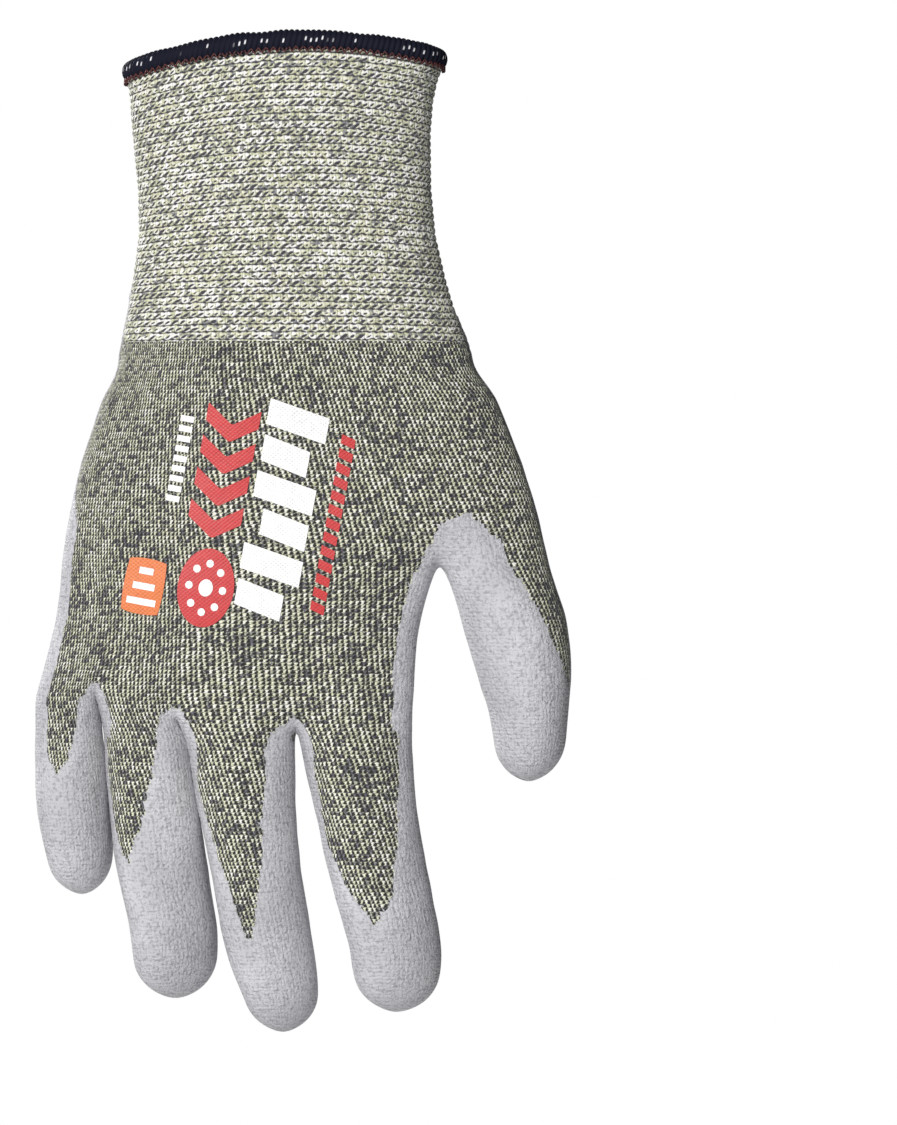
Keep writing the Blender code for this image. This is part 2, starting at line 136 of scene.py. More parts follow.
def faceNormals(points, faces):
    a, b, c, d = (points[faces[:, i]] for i in range(4))
    return np.cross(c - a, d - b)


def pointNormals(points, faces):
    # Sum of the area-weighted normals of the faces round each point.
    across = faceNormals(points, faces)
    total = np.zeros_like(points)
    for i in range(4):
        np.add.at(total, faces[:, i], across)
    return unit(total)


def cutOut(name, sheet, keep, points=None):
    # A piece of a larger sheet: its kept faces and the points they use, from the sheet unless given.
    used, flat = np.unique(sheet["faces"][keep], return_inverse=True)
    places = (sheet["points"] if points is None else points)[used]
    return addMesh(name, places, flat.reshape(-1, 4), sheet["uv"][used])


view = {
    "aim": (0.042, 0.0, -0.129),
    "distance": 1.4,
    "frameHeight": 0.286,
    "sensor": 36.0,
    "floorHeight": -0.42,
    "floorRadius": 0.75,
    "lightsAim": (0.0, 0.0, -0.13),
    "dim": 0.11,
}

lights = (
    # name, place, size, power, colour
    ("key", (-0.62, -1.60, 0.45), 0.40, 32.5, (1.0, 0.99, 0.98)),
    ("front", (-0.15, -1.8, -0.45), 0.6, 2.2, (0.97, 0.98, 1.0)),
    ("rear", (-1.05, 1.25, 0.60), 0.6, 27.0, (1.0, 1.0, 1.0)),
)


def placeCamera():
    camera = bpy.data.cameras.new("camera")
    camera.sensor_fit = "VERTICAL"
    camera.sensor_height = view["sensor"]
    camera.lens = view["sensor"] * view["distance"] / view["frameHeight"]
    camera.clip_start = 0.05
    camera.clip_end = 20.0
    eye = addObject("camera", camera)
    eye.location = (view["aim"][0], view["aim"][1] - view["distance"], view["aim"][2])
    eye.rotation_euler = (math.radians(90), 0, 0)
    bpy.context.scene.camera = eye


def placeLights():
    for name, place, size, power, colour in lights:
        lamp = bpy.data.lights.new(name, "AREA")
        lamp.shape = "DISK"
        lamp.size = size
        lamp.energy = power
        lamp.color = colour
        holder = addObject(name, lamp)
        holder.location = place
        x, y, z = np.array(view["lightsAim"]) - np.array(place)
        holder.rotation_euler = (math.atan2(math.hypot(x, y), -z), 0, math.atan2(y, x) - math.pi / 2)


def placeFloor():
    # A disc of rings, pale and matt.
    rings, sides = 6, 64
    angle = np.arange(sides) * 2 * math.pi / sides
    radius = np.linspace(0.04, view["floorRadius"], rings)
    x = (radius[:, None] * np.cos(angle)).ravel()
    y = (radius[:, None] * np.sin(angle)).ravel()
    points = np.stack([x, y, np.full_like(x, view["floorHeight"])], axis=1) / mm
    faces = gridFaces(rings, sides).tolist() + [list(range(sides))]
    floor = addMesh("floor", points, faces)
    material = bpy.data.materials.new("floorPale")
    material.use_nodes = True
    shader = material.node_tree.nodes["Principled BSDF"]
    shader.inputs["Base Color"].default_value = (0.86, 0.86, 0.86, 1)
    shader.inputs["Roughness"].default_value = 0.8
    floor.data.materials.append(material)


def paintWorld():
    # White to the camera, dim to everything else.
    world = bpy.data.worlds.new("studio")
    bpy.context.scene.world = world
    world.use_nodes = True
    tree = world.node_tree
    tree.nodes.clear()
    kinds = ("OutputWorld", "MixShader", "LightPath")
    out, mix, path = (tree.nodes.new("ShaderNode" + kind) for kind in kinds)
    tree.links.new(path.outputs["Is Camera Ray"], mix.inputs[0])
    tree.links.new(mix.outputs[0], out.inputs[0])
    for socket, colour, strength in ((1, (0.93, 0.95, 1.0, 1), view["dim"]), (2, (1, 1, 1, 1), 1.0)):
        back = tree.nodes.new("ShaderNodeBackground")
        back.inputs["Color"].default_value = colour
        back.inputs["Strength"].default_value = strength
        tree.links.new(back.outputs[0], mix.inputs[socket])


placeCamera()
placeLights()
placeFloor()
paintWorld()
bpy.context.scene.view_settings.view_transform = "Standard"
print("camera, lights and floor are placed")


class Signal:
    # An output in a material's graph. Signals and numbers can be added, taken away and multiplied.
    def __init__(self, graph, socket):
        self.graph, self.socket = graph, socket

    def __add__(self, other):
        return self.graph.maths("ADD", self, other)

    def __sub__(self, other):
        return self.graph.maths("SUBTRACT", self, other)

    def __rsub__(self, other):
        return self.graph.maths("SUBTRACT", other, self)

    def __mul__(self, other):
        return self.graph.maths("MULTIPLY", self, other)

    def __abs__(self):
        return self.graph.maths("ABSOLUTE", self)

    def floor(self):
        return self.graph.maths("FLOOR", self)

    def fraction(self):
        return self.graph.maths("FRACT", self)

    def sine(self):
        return self.graph.maths("SINE", self)


def asColour(value):
    return value if isinstance(value, Signal) else (*value, 1)


class Graph:
    # Builds a material's nodes with short calls. A value may be a number or a signal.
    def __init__(self, name):
        self.material = bpy.data.materials.new(name)
        self.material.use_nodes = True
        self.tree = self.material.node_tree
        self.shader = self.tree.nodes["Principled BSDF"]

    def put(self, socket, value):
        if isinstance(value, Signal):
            self.tree.links.new(value.socket, socket)
        else:
            socket.default_value = value

    def fill(self, node, inputs):
        for name, value in inputs.items():
            self.put(node.inputs[name.replace("_", " ")], value)

    def node(self, kind, **inputs):
        node = self.tree.nodes.new("ShaderNode" + kind)
        self.fill(node, inputs)
        return node

    def signal(self, node, output=0):
        return Signal(self, node.outputs[output])

    def maths(self, operation, *values):
        node = self.node("Math")
        node.operation = operation
        for socket, value in zip(node.inputs, values):
            self.put(socket, value)
        return self.signal(node)

    def step(self, value, low, high):
        # 0 at low and 1 at high, smooth between.
        node = self.node("MapRange", Value=value, From_Min=low, From_Max=high)
        node.interpolation_type = "SMOOTHSTEP"
        return self.signal(node)

    def uv(self):
        node = self.node("UVMap")
        node.uv_map = "UVMap"
        split = self.node("SeparateXYZ", Vector=self.signal(node))
        return self.signal(split, 0), self.signal(split, 1)

    def place(self):
        return self.signal(self.node("TexCoord"), "Object")

    def join(self, x, y, z=0.0):
        return self.signal(self.node("CombineXYZ", X=x, Y=y, Z=z))

    def noise(self, where, scale, detail=2.0, roughness=0.5):
        node = self.node("TexNoise", Vector=where, Scale=scale, Detail=detail, Roughness=roughness)
        return self.signal(node)

    def grain(self, u, v, across, down, detail=2.0, roughness=0.6):
        # Noise that goes with the stitches, stretched across and down the fabric.
        return self.noise(self.join(u * across, v * down), 1.0, detail, roughness)

    def chance(self, x, y, z=0.0):
        # One even random number for each whole place.
        node = self.node("TexWhiteNoise")
        node.noise_dimensions = "3D"
        self.put(node.inputs["Vector"], self.join(x, y, z))
        return self.signal(node)

    def ramp(self, value, *stops):
        node = self.node("ValToRGB")
        while len(node.color_ramp.elements) < len(stops):
            node.color_ramp.elements.new(0.5)
        for element, (at, yarn) in zip(node.color_ramp.elements, stops):
            element.position = at
            element.color = (*yarns[yarn], 1)
        self.put(node.inputs[0], value)
        return self.signal(node)

    def mix(self, share, a, b):
        node = self.node("Mix")
        node.data_type = "RGBA"
        for i, value in ((0, share), (6, asColour(a)), (7, asColour(b))):
            self.put(node.inputs[i], value)
        return self.signal(node, 2)

    def bump(self, height, distance, strength=1.0):
        return self.signal(self.node("Bump", Strength=strength, Distance=distance, Height=height))

    def finish(self, colour, roughness, normal, **inputs):
        self.fill(self.shader, {"Base_Color": asColour(colour), "Roughness": roughness, "Normal": normal})
        self.fill(self.shader, inputs)
        return self.material


yarns = {
    "lime": (0.55, 0.56, 0.36),
    "pale": (0.75, 0.75, 0.61),
    "white": (0.88, 0.87, 0.84),
    "grey": (0.25, 0.25, 0.26),
    "charcoal": (0.085, 0.080, 0.10),
    # painted shade: the near-black of the knit's holes and recesses, not a yarn
    "shadedHole": (0.016, 0.016, 0.014),
    # painted shade: the near-black between the cuff's loops and rows, not a yarn
    "gap": (0.045, 0.043, 0.055),
}
foam = {"dark": (0.53, 0.525, 0.555), "light": (0.63, 0.625, 0.655), "speck": (0.20, 0.20, 0.22)}


# How far each rib's loops are shifted from those of the rib above, as a share of a loop.
loopShift = 0.37


def loosen(g, amount):
    # Wale and course numbers pushed about by slow noises, because stitches wander a little.
    u, v = g.uv()
    u = u + (g.noise(g.place(), 420.0) - 0.5) * amount
    return u, v + (g.noise(g.place(), 510.0) - 0.5) * amount


def awayFrom(g, x, y):
    return g.maths("SQRT", x * x + y * y)


def finishKnit(g, colour, height):
    return g.finish(colour, 0.9, g.bump(height, 0.00030, 0.7), Sheen_Weight=0.15, Sheen_Roughness=0.5)


def handKnitMaterial():
    # Each stitch is a slanted bright stroke beside a round dark hole. The stroke is the leg that faces the
    # light; the other leg, the hole and the line between courses are darkened towards near-black as painted
    # shade. u counts wales, v counts courses.
    g = Graph("handKnit")
    u, v = loosen(g, 0.9)
    u = u - v * 0.14
    a, b = u.fraction(), v.fraction()
    # The yarn's colour is picked by each stitch's luck, long strands, broad patches and fine fibres.
    fleck = g.chance(u.floor(), v.floor())
    strand = g.grain(u, v, 0.24, 0.7, 3.0, 0.65)
    patch = g.noise(g.place(), 90.0, 3.0, 0.6)
    fibre = g.grain(u, v, 2.6, 1.7)
    pick = fleck * 0.40 + (strand + patch) * 0.40 + (fibre - 0.5) * 0.95
    dark, bright = ((0.0, "charcoal"), (0.38, "charcoal"), (0.49, "grey")), ((0.71, "pale"), (0.88, "white"))
    yarn = g.ramp(pick, *dark, (0.57, "lime"), *bright)
    # The stroke leans: its middle line moves across the stitch as it goes down.
    lean = a - 0.54 + (b - 0.5) * 0.55
    stroke = 1.0 - g.step(abs(lean), 0.16, 0.42)
    holeX = a - 0.08
    holeX = g.maths("MINIMUM", abs(holeX), abs(holeX - 1.0))
    solid = g.step(awayFrom(g, holeX, b - 0.6), 0.18, 0.46)
    course = 1.0 - g.step(abs(b - 0.5), 0.30, 0.52)
    height = (stroke * 0.75 + 0.25) * (solid * (course * 0.6 + 0.4))
    # The colour follows the height: low parts take the near-black hole colour, which is painted shade in the
    # hole, on the unlit leg and between courses.
    return finishKnit(g, g.mix(g.step(height, 0.08, 0.70), yarns["shadedHole"], yarn), height)


def cuffKnitMaterial():
    # Rows of pale arches, each with a small dark hole in its middle and a dark wavy line below the row. The
    # hole, the line and the arches' sides are painted shade, mixed in from the near-black gap colour.
    g = Graph("cuffKnit")
    u, v = loosen(g, 0.5)
    shifted = u + v.floor() * loopShift
    a, b = shifted.fraction() - 0.5, v.fraction()
    fleck = g.chance((shifted * 2.0).floor(), (v * 2.0).floor())
    patch = g.noise(g.place(), 150.0, 3.0, 0.65)
    strand = g.grain(u, v, 0.30, 1.3)
    fibre = g.grain(u, v, 3.1, 2.3)
    pick = fleck * 0.42 + (patch + strand) * 0.46 + (fibre - 0.5) * 0.6
    dark, bright = ((0.0, "grey"), (0.44, "grey")), ((0.70, "pale"), (0.82, "white"), (1.0, "white"))
    yarn = g.ramp(pick, *dark, (0.56, "lime"), *bright)
    luck = g.chance(shifted.floor(), v.floor(), 7.0)
    fromHole = awayFrom(g, a * 0.62, (b - 0.60 + a * 0.45) * 1.25)
    shadedHole = g.step(fromHole - luck * 0.16, 0.02, 0.26)
    between = 1.0 - g.step(abs(b + abs(a) * 0.30 - 0.58), 0.26, 0.50)
    side = 1.0 - g.step(abs(a), 0.30, 0.54)
    height = shadedHole * between * (side * 0.72 + 0.28)
    # Low height takes the gap colour: painted shade in the hole, at the loops' sides and below each row.
    return finishKnit(g, g.mix(g.step(height, 0.0, 0.66), yarns["gap"], yarn), height)


def coatingMaterial():
    # A thin foam film: the knit shows through as grain, with a fine crinkle and small specks.
    g = Graph("palmCoating")
    u, v = loosen(g, 1.1)
    spot = g.place()
    crinkle = g.noise(spot, 1400.0, 3.0, 0.65)
    lumps = g.noise(spot, 330.0, 3.0, 0.6)
    grain = abs((u * math.pi).sine()) * 0.24 + abs((v * math.pi).sine()) * 0.30
    height = grain + crinkle * 1.9 + lumps * 1.3
    speck = g.step(g.noise(spot, 1000.0, 2.0, 0.7) + (0.4 - grain) * 0.22, 0.50, 0.66)
    shade = g.mix(g.step(g.noise(spot, 55.0), 0.35, 0.68), foam["dark"], foam["light"])
    colour = g.mix(speck * 0.46, shade, foam["speck"])
    return g.finish(colour, 0.6, g.bump(height, 0.00038, 0.9), Specular_IOR_Level=0.30)


def printMaterial(name, colour):
    # Ink pressed into the knit: an even colour, darkened faintly in the stitches' holes as painted shade.
    g = Graph(name)
    across, down = ((count * (2 * math.pi)).sine() for count in g.uv())
    height = across * down * 0.35 + g.noise(g.place(), 700.0, 3.0, 0.6)
    # dark is the same ink in painted shade, used in the stitches' holes.
    dark = tuple(c * 0.62 for c in colour)
    paint = g.mix(g.step(height, 0.42, 0.18) * 0.7, colour, dark)
    return g.finish(paint, 0.5, g.bump(height, 0.00012, 0.7))


def hemYarnMaterial():
    # Bulky dark yarn with fine fibres, and a pale wrap now and then. u counts wraps, v goes round the hem.
    g = Graph("hemYarn")
    u, v = g.uv()
    fibre = g.noise(g.join(u * 2.5, v * 22.0), 3.0, 2.0, 0.6)
    luck = g.chance(u.floor(), 3.0)
    start = g.chance(u.floor(), 8.0) * 0.05 + 0.19
    high = g.step(v - start, 0.0, 0.02) * g.step(start - v, -0.08, -0.05)
    middle = 1.0 - g.step(abs(u.fraction() - 0.5), 0.10, 0.20)
    pale = g.step(luck, 0.58, 0.80) * high * middle
    navy = g.mix(fibre, (0.0008, 0.001, 0.003), (0.013, 0.015, 0.033))
    colour = g.mix(pale, navy, (0.80, 0.79, 0.82))
    return g.finish(colour, 0.75, g.bump(fibre, 0.0002, 0.6), Specular_IOR_Level=0.15)


def threadMaterial(name, dark, light, twists):
    # A twisted thread: light and dark stripes run round it, the twist's crests as painted highlight and its
    # grooves as painted shade. u goes along, v round.
    g = Graph(name)
    u, v = g.uv()
    lit = g.step(((u * twists + v) * (2 * math.pi)).sine(), -0.6, 0.8)
    return g.finish(g.mix(lit, dark, light), 0.6, g.bump(lit, 0.00010, 0.5))


knitOfHand = handKnitMaterial()
knitOfCuff = cuffKnitMaterial()
coating = coatingMaterial()
hemYarn = hemYarnMaterial()
# Each thread's two colours are one yarn lit and in shade: painted highlight and painted shade along its
# twist.
redThread = threadMaterial("needleThread", (0.02, 0.005, 0.006), (0.12, 0.020, 0.018), 2.0)
elastic = threadMaterial("elasticYarn", (0.52, 0.52, 0.48), (0.85, 0.85, 0.80), 3.0)
inks = {
    "white": printMaterial("whiteInk", (0.90, 0.90, 0.90)),
    "red": printMaterial("redInk", (0.56, 0.037, 0.039)),
    "orange": printMaterial("orangeInk", (0.70, 0.17, 0.035)),
}
print("materials are mixed")


hand = {
    # height, left edge, right edge, depth of the back, depth of the palm side
    "stations": (
        (-73.2, -40.8, 46.6, 13.2, 15.0),
        (-80.0, -43.8, 50.2, 12.9, 15.6),
        (-88.0, -46.4, 54.4, 12.7, 16.2),
        (-97.0, -49.2, 58.0, 12.5, 16.8),
        (-107.0, -52.2, 61.8, 12.3, 17.0),
        (-118.0, -54.8, 65.0, 12.0, 16.4),
        (-128.0, -56.3, 67.2, 11.6, 15.2),
    ),
    "belowCrotch": (
        (-137.0, -56.2, 36.2, 11.4, 14.4),
        (-146.0, -57.4, 34.0, 11.1, 13.2),
        (-155.0, -59.6, 32.8, 10.4, 12.0),
        (-166.0, -62.4, 31.6, 9.4, 10.2),
    ),
    "blockShares": (0.0, 0.12, 0.285, 0.537, 0.772, 1.0),
    "crotch": -129.5,
    "webHeights": (-163.0, -162.5, -170.5, -172.0, -168.0),
    "webLift": 3.6,
    "webDepth": 6.0,
    "edgeInset": 1.2,
    "edgeGrow": 0.5,
    "ovalPower": 2.5,
    "middleY": 0.5,
    "columns": 4,
    "walesPerColumn": 5.0,
    "courseHeight": 0.97,
}

digits = {
    # stations: height, left edge, right edge
    # wedge: height, and the wales of the digit between which the back is bare there
    # borders: where the hand ends and where the digit is split; hinges: the heights of its two joints
    # lean: how far its section turns, as the depth at its edges over the depth at its middle
    "little": {
        "stations": (
            (-165.5, -62.4, -47.0), (-176.0, -62.8, -45.7),
            (-190.0, -62.1, -44.4), (-203.0, -59.8, -43.4),
        ),
        "tip": -213.0, "depth": 8.0, "lean": 0.3, "borders": (-165.5, -182.7), "hinges": (-174.0, -191.0),
        "wedge": (
            (-159.0, -0.5, 6.5), (-162.5, 0.7, 4.2), (-166.0, 1.1, 3.7), (-173.0, 1.4, 3.4),
            (-180.0, 1.9, 2.8), (-182.5, 2.3, 2.4),
        ),
    },
    "ring": {
        "stations": (
            (-171.3, -45.4, -24.8), (-184.0, -45.1, -22.8),
            (-205.0, -42.8, -19.5), (-224.0, -37.4, -17.7),
        ),
        "tip": -239.0, "depth": 9.2, "lean": 0.5, "borders": (-171.3, -191.0), "hinges": (-181.0, -204.0),
        "wedge": (
            (-163.0, -0.5, 6.5), (-167.0, 0.4, 4.4), (-171.0, 0.5, 3.8), (-186.0, 0.6, 3.0),
            (-196.0, 0.8, 2.4), (-203.0, 1.2, 1.7), (-205.5, 1.5, 1.6),
        ),
    },
    "middle": {
        "stations": (
            (-174.0, -24.6, 2.4), (-186.0, -22.9, 2.9), (-205.0, -19.1, 4.4),
            (-226.0, -14.7, 7.6), (-240.0, -9.9, 9.6),
        ),
        "tip": -248.5, "depth": 9.7, "lean": 0.3, "borders": (-174.0, -196.5), "hinges": (-184.0, -211.0),
        "wedge": (
            (-166.5, -0.5, 6.5), (-171.0, 0.7, 4.4), (-176.0, 1.2, 4.0), (-186.0, 0.8, 3.8),
            (-203.0, 1.3, 3.4), (-213.0, 1.7, 3.0), (-226.0, 2.1, 2.2),
        ),
    },
    "index": {
        "stations": (
            (-173.2, 4.6, 31.6), (-186.0, 6.6, 33.0),
            (-205.0, 10.4, 35.8), (-228.0, 17.6, 39.2),
        ),
        "tip": -243.3, "depth": 9.6, "lean": 0.25, "borders": (-173.2, -195.0), "hinges": (-183.0, -208.0),
        "wedge": (
            (-167.0, -0.5, 6.5), (-170.5, 0.4, 4.9), (-175.0, 0.8, 4.75), (-184.0, 1.1, 4.6),
            (-200.0, 0.9, 4.1), (-214.0, 1.8, 3.4), (-220.5, 2.4, 2.5),
        ),
    },
    "thumb": {
        "stations": (
            (-132.5, 42.4, 68.2), (-141.0, 44.6, 71.2),
            (-151.0, 47.4, 72.4), (-170.0, 53.0, 71.6),
        ),
        "tip": -185.0, "depth": 10.8, "lean": 0.0, "borders": (-132.5, -153.5), "hinges": (-143.0, -163.0),
        "wedge": (
            (-117.0, 2.4, 6.0), (-124.5, 3.4, 6.0), (-131.0, 3.5, 6.0), (-138.4, 3.9, 6.0),
            (-151.0, 4.5, 6.0), (-161.0, 5.4, 5.5),
        ),
    },
}
digitNames = ("little", "ring", "middle", "index", "thumb")
digitForm = {
    "curl": 7.0,
    "tipRound": 11.0,
    "grow": 1.045,
    "sides": 12,
    "strip": 6.6,
    # heights of the last rings above the tip, and how far the closing point lies below it
    "tipRings": (9.0, 5.2, 2.2, 0.5),
    "tipPoint": 0.4,
    # shares of the digit's length at which its section starts to lean, and over which it does
    "leanStart": 0.22,
    "leanReach": 0.40,
}


def oval(u):
    # Depth of a flattened oval, as a share, at u from -1 at one edge to 1 at the other.
    power = hand["ovalPower"]
    return (1.0 - np.minimum(np.abs(u), 1.0) ** power) ** (1.0 / power)


class Cage:
    # Rings of points joined by quads, with each point's wale number and each face's area number.
    def __init__(self):
        self.points, self.wales, self.faces, self.areas = [], [], [], []

    def ring(self, points, wales):
        first = len(self.points)
        self.points.extend(np.asarray(points, float).tolist())
        self.wales.extend(np.asarray(wales, float).tolist())
        return list(range(first, len(self.points)))

    def strip(self, upper, lower, area):
        count = len(upper)
        for i in range(count):
            j = (i + 1) % count
            self.faces.append((upper[i], lower[i], lower[j], upper[j]))
            self.areas.append(2 * area + int(i >= count // 2))

    def cap(self, ring, tip, wale, area):
        pole = self.ring([tip], [wale])[0]
        for i in range(len(ring)):
            self.faces.append((ring[i], pole, ring[(i + 1) % len(ring)]))
            self.areas.append(2 * area + int(i >= len(ring) // 2))


def blockEdges(left, right, blocks):
    shares = np.array(hand["blockShares"][: blocks + 1]) / hand["blockShares"][blocks]
    return left + (right - left) * shares


def handRow(station, blocks, heights=None, dips=()):
    # One ring of the hand: left edge, back columns, right edge, palm columns, sunk where two digits meet.
    z, left, right, back, palm = station
    left, right = left - hand["edgeGrow"], right + hand["edgeGrow"]
    edges = blockEdges(left, right, blocks)
    levels = [z] * (blocks + 1) if heights is None else heights
    column = np.arange(blocks * hand["columns"] + 1) / hand["columns"]
    x = np.interp(column, range(blocks + 1), edges)
    level = np.interp(column, range(blocks + 1), levels)
    x[0] += hand["edgeInset"]
    x[-1] -= hand["edgeInset"]
    full = oval((2 * x - left - right) / (right - left))
    sink = np.zeros(len(column))
    for meeting in dips:
        sink = np.maximum(sink, np.clip(1 - abs(column - meeting) * 2, 0, 1))
    sides = []
    for depth, sign in ((back, -1), (palm, 1)):
        y = full * depth
        y = y * (1 - sink) + np.minimum(y, hand["webDepth"]) * sink
        sides.append(np.stack([x, sign * y, level + hand["webLift"] * sink], axis=1))
    ends = [(edges[0], hand["middleY"], levels[0]), (edges[-1], hand["middleY"], levels[-1])]
    wale = column * hand["columns"]
    points = [ends[0], *sides[0], ends[1], *sides[1][::-1]]
    return points, [-1.0, *wale, wale[-1] + 1, *wale[::-1]]


def subRing(row, first, last, leftPoint, rightPoint):
    # The ring of one digit, or of the four fingers, out of a wider row of the hand.
    count = (len(row) - 4) // 2
    back, palm = row[1 : count + 2], row[count + 3 :][::-1]
    ends = slice(first * hand["columns"], last * hand["columns"] + 1)
    return [leftPoint, *back[ends], rightPoint, *palm[ends][::-1]]


def digitRing(name, block, z):
    # Points round a digit: an ellipse between its edges, which leans and is rounded off near the tip.
    digit = digits[name]
    top = digit["stations"][0][0]
    left, right = readTable(digit["stations"], z, 1), readTable(digit["stations"], z, 2)
    share = max(0.0, (top - z) / (top - digit["tip"]))
    fromTip = min(max((z - digit["tip"]) / digitForm["tipRound"], 0.0), 1.0)
    roundOff = math.sqrt(1.0 - (1.0 - fromTip) ** 2) * digitForm["grow"]
    angle = np.radians(180 - 360 / digitForm["sides"] * np.arange(digitForm["sides"]))
    x = (left + right) / 2 + (right - left) / 2 * roundOff * np.cos(angle)
    lean = digit["lean"] * float(smoothStep((share - digitForm["leanStart"]) / digitForm["leanReach"]))
    middle = hand["middleY"] + digitForm["curl"] * share ** 2
    y = middle - digit["depth"] * roundOff * (np.sin(angle) - lean * np.cos(angle))
    first = block * hand["columns"]
    wales = [first - 1, *range(first, first + 5), first + 5, *range(first + 4, first - 1, -1)]
    return np.stack([x, y, np.full(len(angle), z)], axis=1), wales


def digitRows(name):
    # Heights of the rings: even strips between the two borders, then down to the tip.
    digit = digits[name]
    first, second = digit["borders"]
    end = digit["tip"] + digitForm["tipRings"][0]
    upper = np.linspace(first, second, 1 + round((first - second) / digitForm["strip"]))
    lower = np.linspace(second, end, 1 + round((second - end) / digitForm["strip"]))
    return upper, np.concatenate([lower, digit["tip"] + np.array(digitForm["tipRings"][1:])])


def buildCage():
    cage = Cage()
    stations = hand["stations"]
    rings = [cage.ring(*handRow(station, 5)) for station in stations[:-1]]
    rings.append(cage.ring(*handRow(stations[-1], 5, dips=(4,))))
    for upper, lower in zip(rings, rings[1:]):
        cage.strip(upper, lower, 0)
    wide = rings[-1]
    crotchX = blockEdges(stations[-1][1], stations[-1][2], 5)[4]
    crotch = cage.ring([(crotchX, hand["middleY"], hand["crotch"])], [16.0])[0]
    four = subRing(wide, 0, 4, wide[0], crotch)
    thumb = subRing(wide, 4, 5, crotch, wide[5 * hand["columns"] + 2])
    below = hand["belowCrotch"]
    for station in below[:-1]:
        lower = cage.ring(*handRow(station, 4))
        cage.strip(four, lower, 0)
        four = lower
    webs = cage.ring(*handRow(below[-1], 4, hand["webHeights"], dips=(1, 2, 3)))
    cage.strip(four, webs, 0)
    webX = blockEdges(below[-1][1], below[-1][2], 4)
    middles = [(webX[i], hand["middleY"], hand["webHeights"][i]) for i in (1, 2, 3)]
    between = [webs[0], *cage.ring(middles, [4.0, 8.0, 12.0]), webs[4 * hand["columns"] + 2]]
    starts = [subRing(webs, i, i + 1, between[i], between[i + 1]) for i in range(4)] + [thumb]
    for block, name in enumerate(digitNames):
        upperRows, lowerRows = digitRows(name)
        ring = cage.ring(*digitRing(name, block, upperRows[0]))
        cage.strip(starts[block], ring, 0)
        for rows, area in ((upperRows[1:], 1 + 2 * block), (lowerRows[1:], 2 + 2 * block)):
            for z in rows:
                lower = cage.ring(*digitRing(name, block, z))
                cage.strip(ring, lower, area)
                ring = lower
        digit = digits[name]
        tipX = (digit["stations"][-1][1] + digit["stations"][-1][2]) / 2
        tipY = hand["middleY"] + digitForm["curl"]
        cage.cap(ring, (tipX, tipY, digit["tip"] - digitForm["tipPoint"]), 4 * block + 2, 2 + 2 * block)
    return cage


def subdivide(cage, levels=3):
    # The smooth surface of the cage, as arrays.
    shell = addMesh("cage", cage.points, cage.faces)
    shell.data.attributes.new("wale", "FLOAT", "POINT").data.foreach_set("value", cage.wales)
    shell.data.attributes.new("area", "INT", "FACE").data.foreach_set("value", cage.areas)
    smoother = shell.modifiers.new("smooth", "SUBSURF")
    smoother.levels = smoother.render_levels = levels
    mesh = settle(shell).data
    sheet = {
        "points": pull(mesh.vertices, "co", 3).reshape(-1, 3) / mm,
        "faces": pull(mesh.loops, "vertex_index", kind=np.int32).reshape(-1, 4),
        "wale": pull(mesh.attributes["wale"].data, "value", kind=np.float32),
        "area": pull(mesh.attributes["area"].data, "value", kind=np.int32),
    }
    bpy.data.objects.remove(shell)
    return sheet


folds = {
    "billow": 0.60,
    "billowScale": 9.0,
    "crumple": 0.22,
    "crumpleScale": 2.6,
    "jointCrease": 0.6,
    # palm lines: start and end as x and height, and how deep
    "palmLines": (
        (44.0, -118.0, 16.0, -80.0, 1.1),
        (30.0, -146.0, -18.0, -128.0, 0.9),
        (-52.0, -150.0, 2.0, -158.0, 0.8),
        (52.0, -104.0, 26.0, -88.0, 0.6),
        (-46.0, -112.0, -22.0, -120.0, 0.5),
    ),
    "lineSag": 3.0,
    "lineWidth": 3.0,
    # joint creases: how far they wander up and down, how fast, and their width
    "creaseSway": 1.2,
    "creaseTurn": 0.35,
    "creaseWidth": 2.3,
    # the cuff's end, and the length over which the folds set in below it
    "top": -74.0,
    "topReach": 14.0,
}


cuff = {
    # height, left edge, right edge, depth of the back, depth of the palm side
    "stations": (
        (1.0, -41.6, 41.4, 15.6, 15.6),
        (-3.9, -40.4, 40.0, 15.5, 15.5),
        (-7.0, -39.4, 39.0, 15.2, 15.2),
        (-12.0, -38.8, 38.0, 14.8, 14.8),
        (-20.0, -38.2, 37.4, 14.5, 14.5),
        (-34.0, -36.8, 37.6, 14.5, 14.5),
        (-46.0, -36.6, 38.8, 14.5, 14.5),
        (-57.0, -38.2, 41.4, 14.2, 14.8),
        (-65.0, -39.4, 43.8, 14.0, 15.0),
        (-76.0, -41.6, 47.6, 13.1, 15.2),
    ),
    "top": -4.3,
    "bottom": -74.6,
    "arch": 5.5,
    "archHalf": 41.0,
    "tilt": 0.045,
    "ribs": 40,
    "rowsPerRib": 4,
    "loops": 100,
    "columnsPerLoop": 3,
    "ribRelief": 0.34,
    "loopRelief": 0.14,
    "sink": 0.1,
    # number of ribs at the hand over which the ribs flatten out
    "lastRibs": 1.5,
    "wall": 1.4,
    # height at which the oval is measured to space the loops evenly, and the steps it is measured in
    "measuredAt": -40.0,
    "fineSteps": 4001,
    # slow waves over the whole cuff: height, scale, seed, and the ribs over which they fade out at the hand
    "waves": (0.35, 7.0, 21, 8),
}


def cuffOutline(z):
    # Left edge, right edge, back depth and palm depth of the tube at a height.
    return [readTable(cuff["stations"], z, i) for i in range(1, 5)]


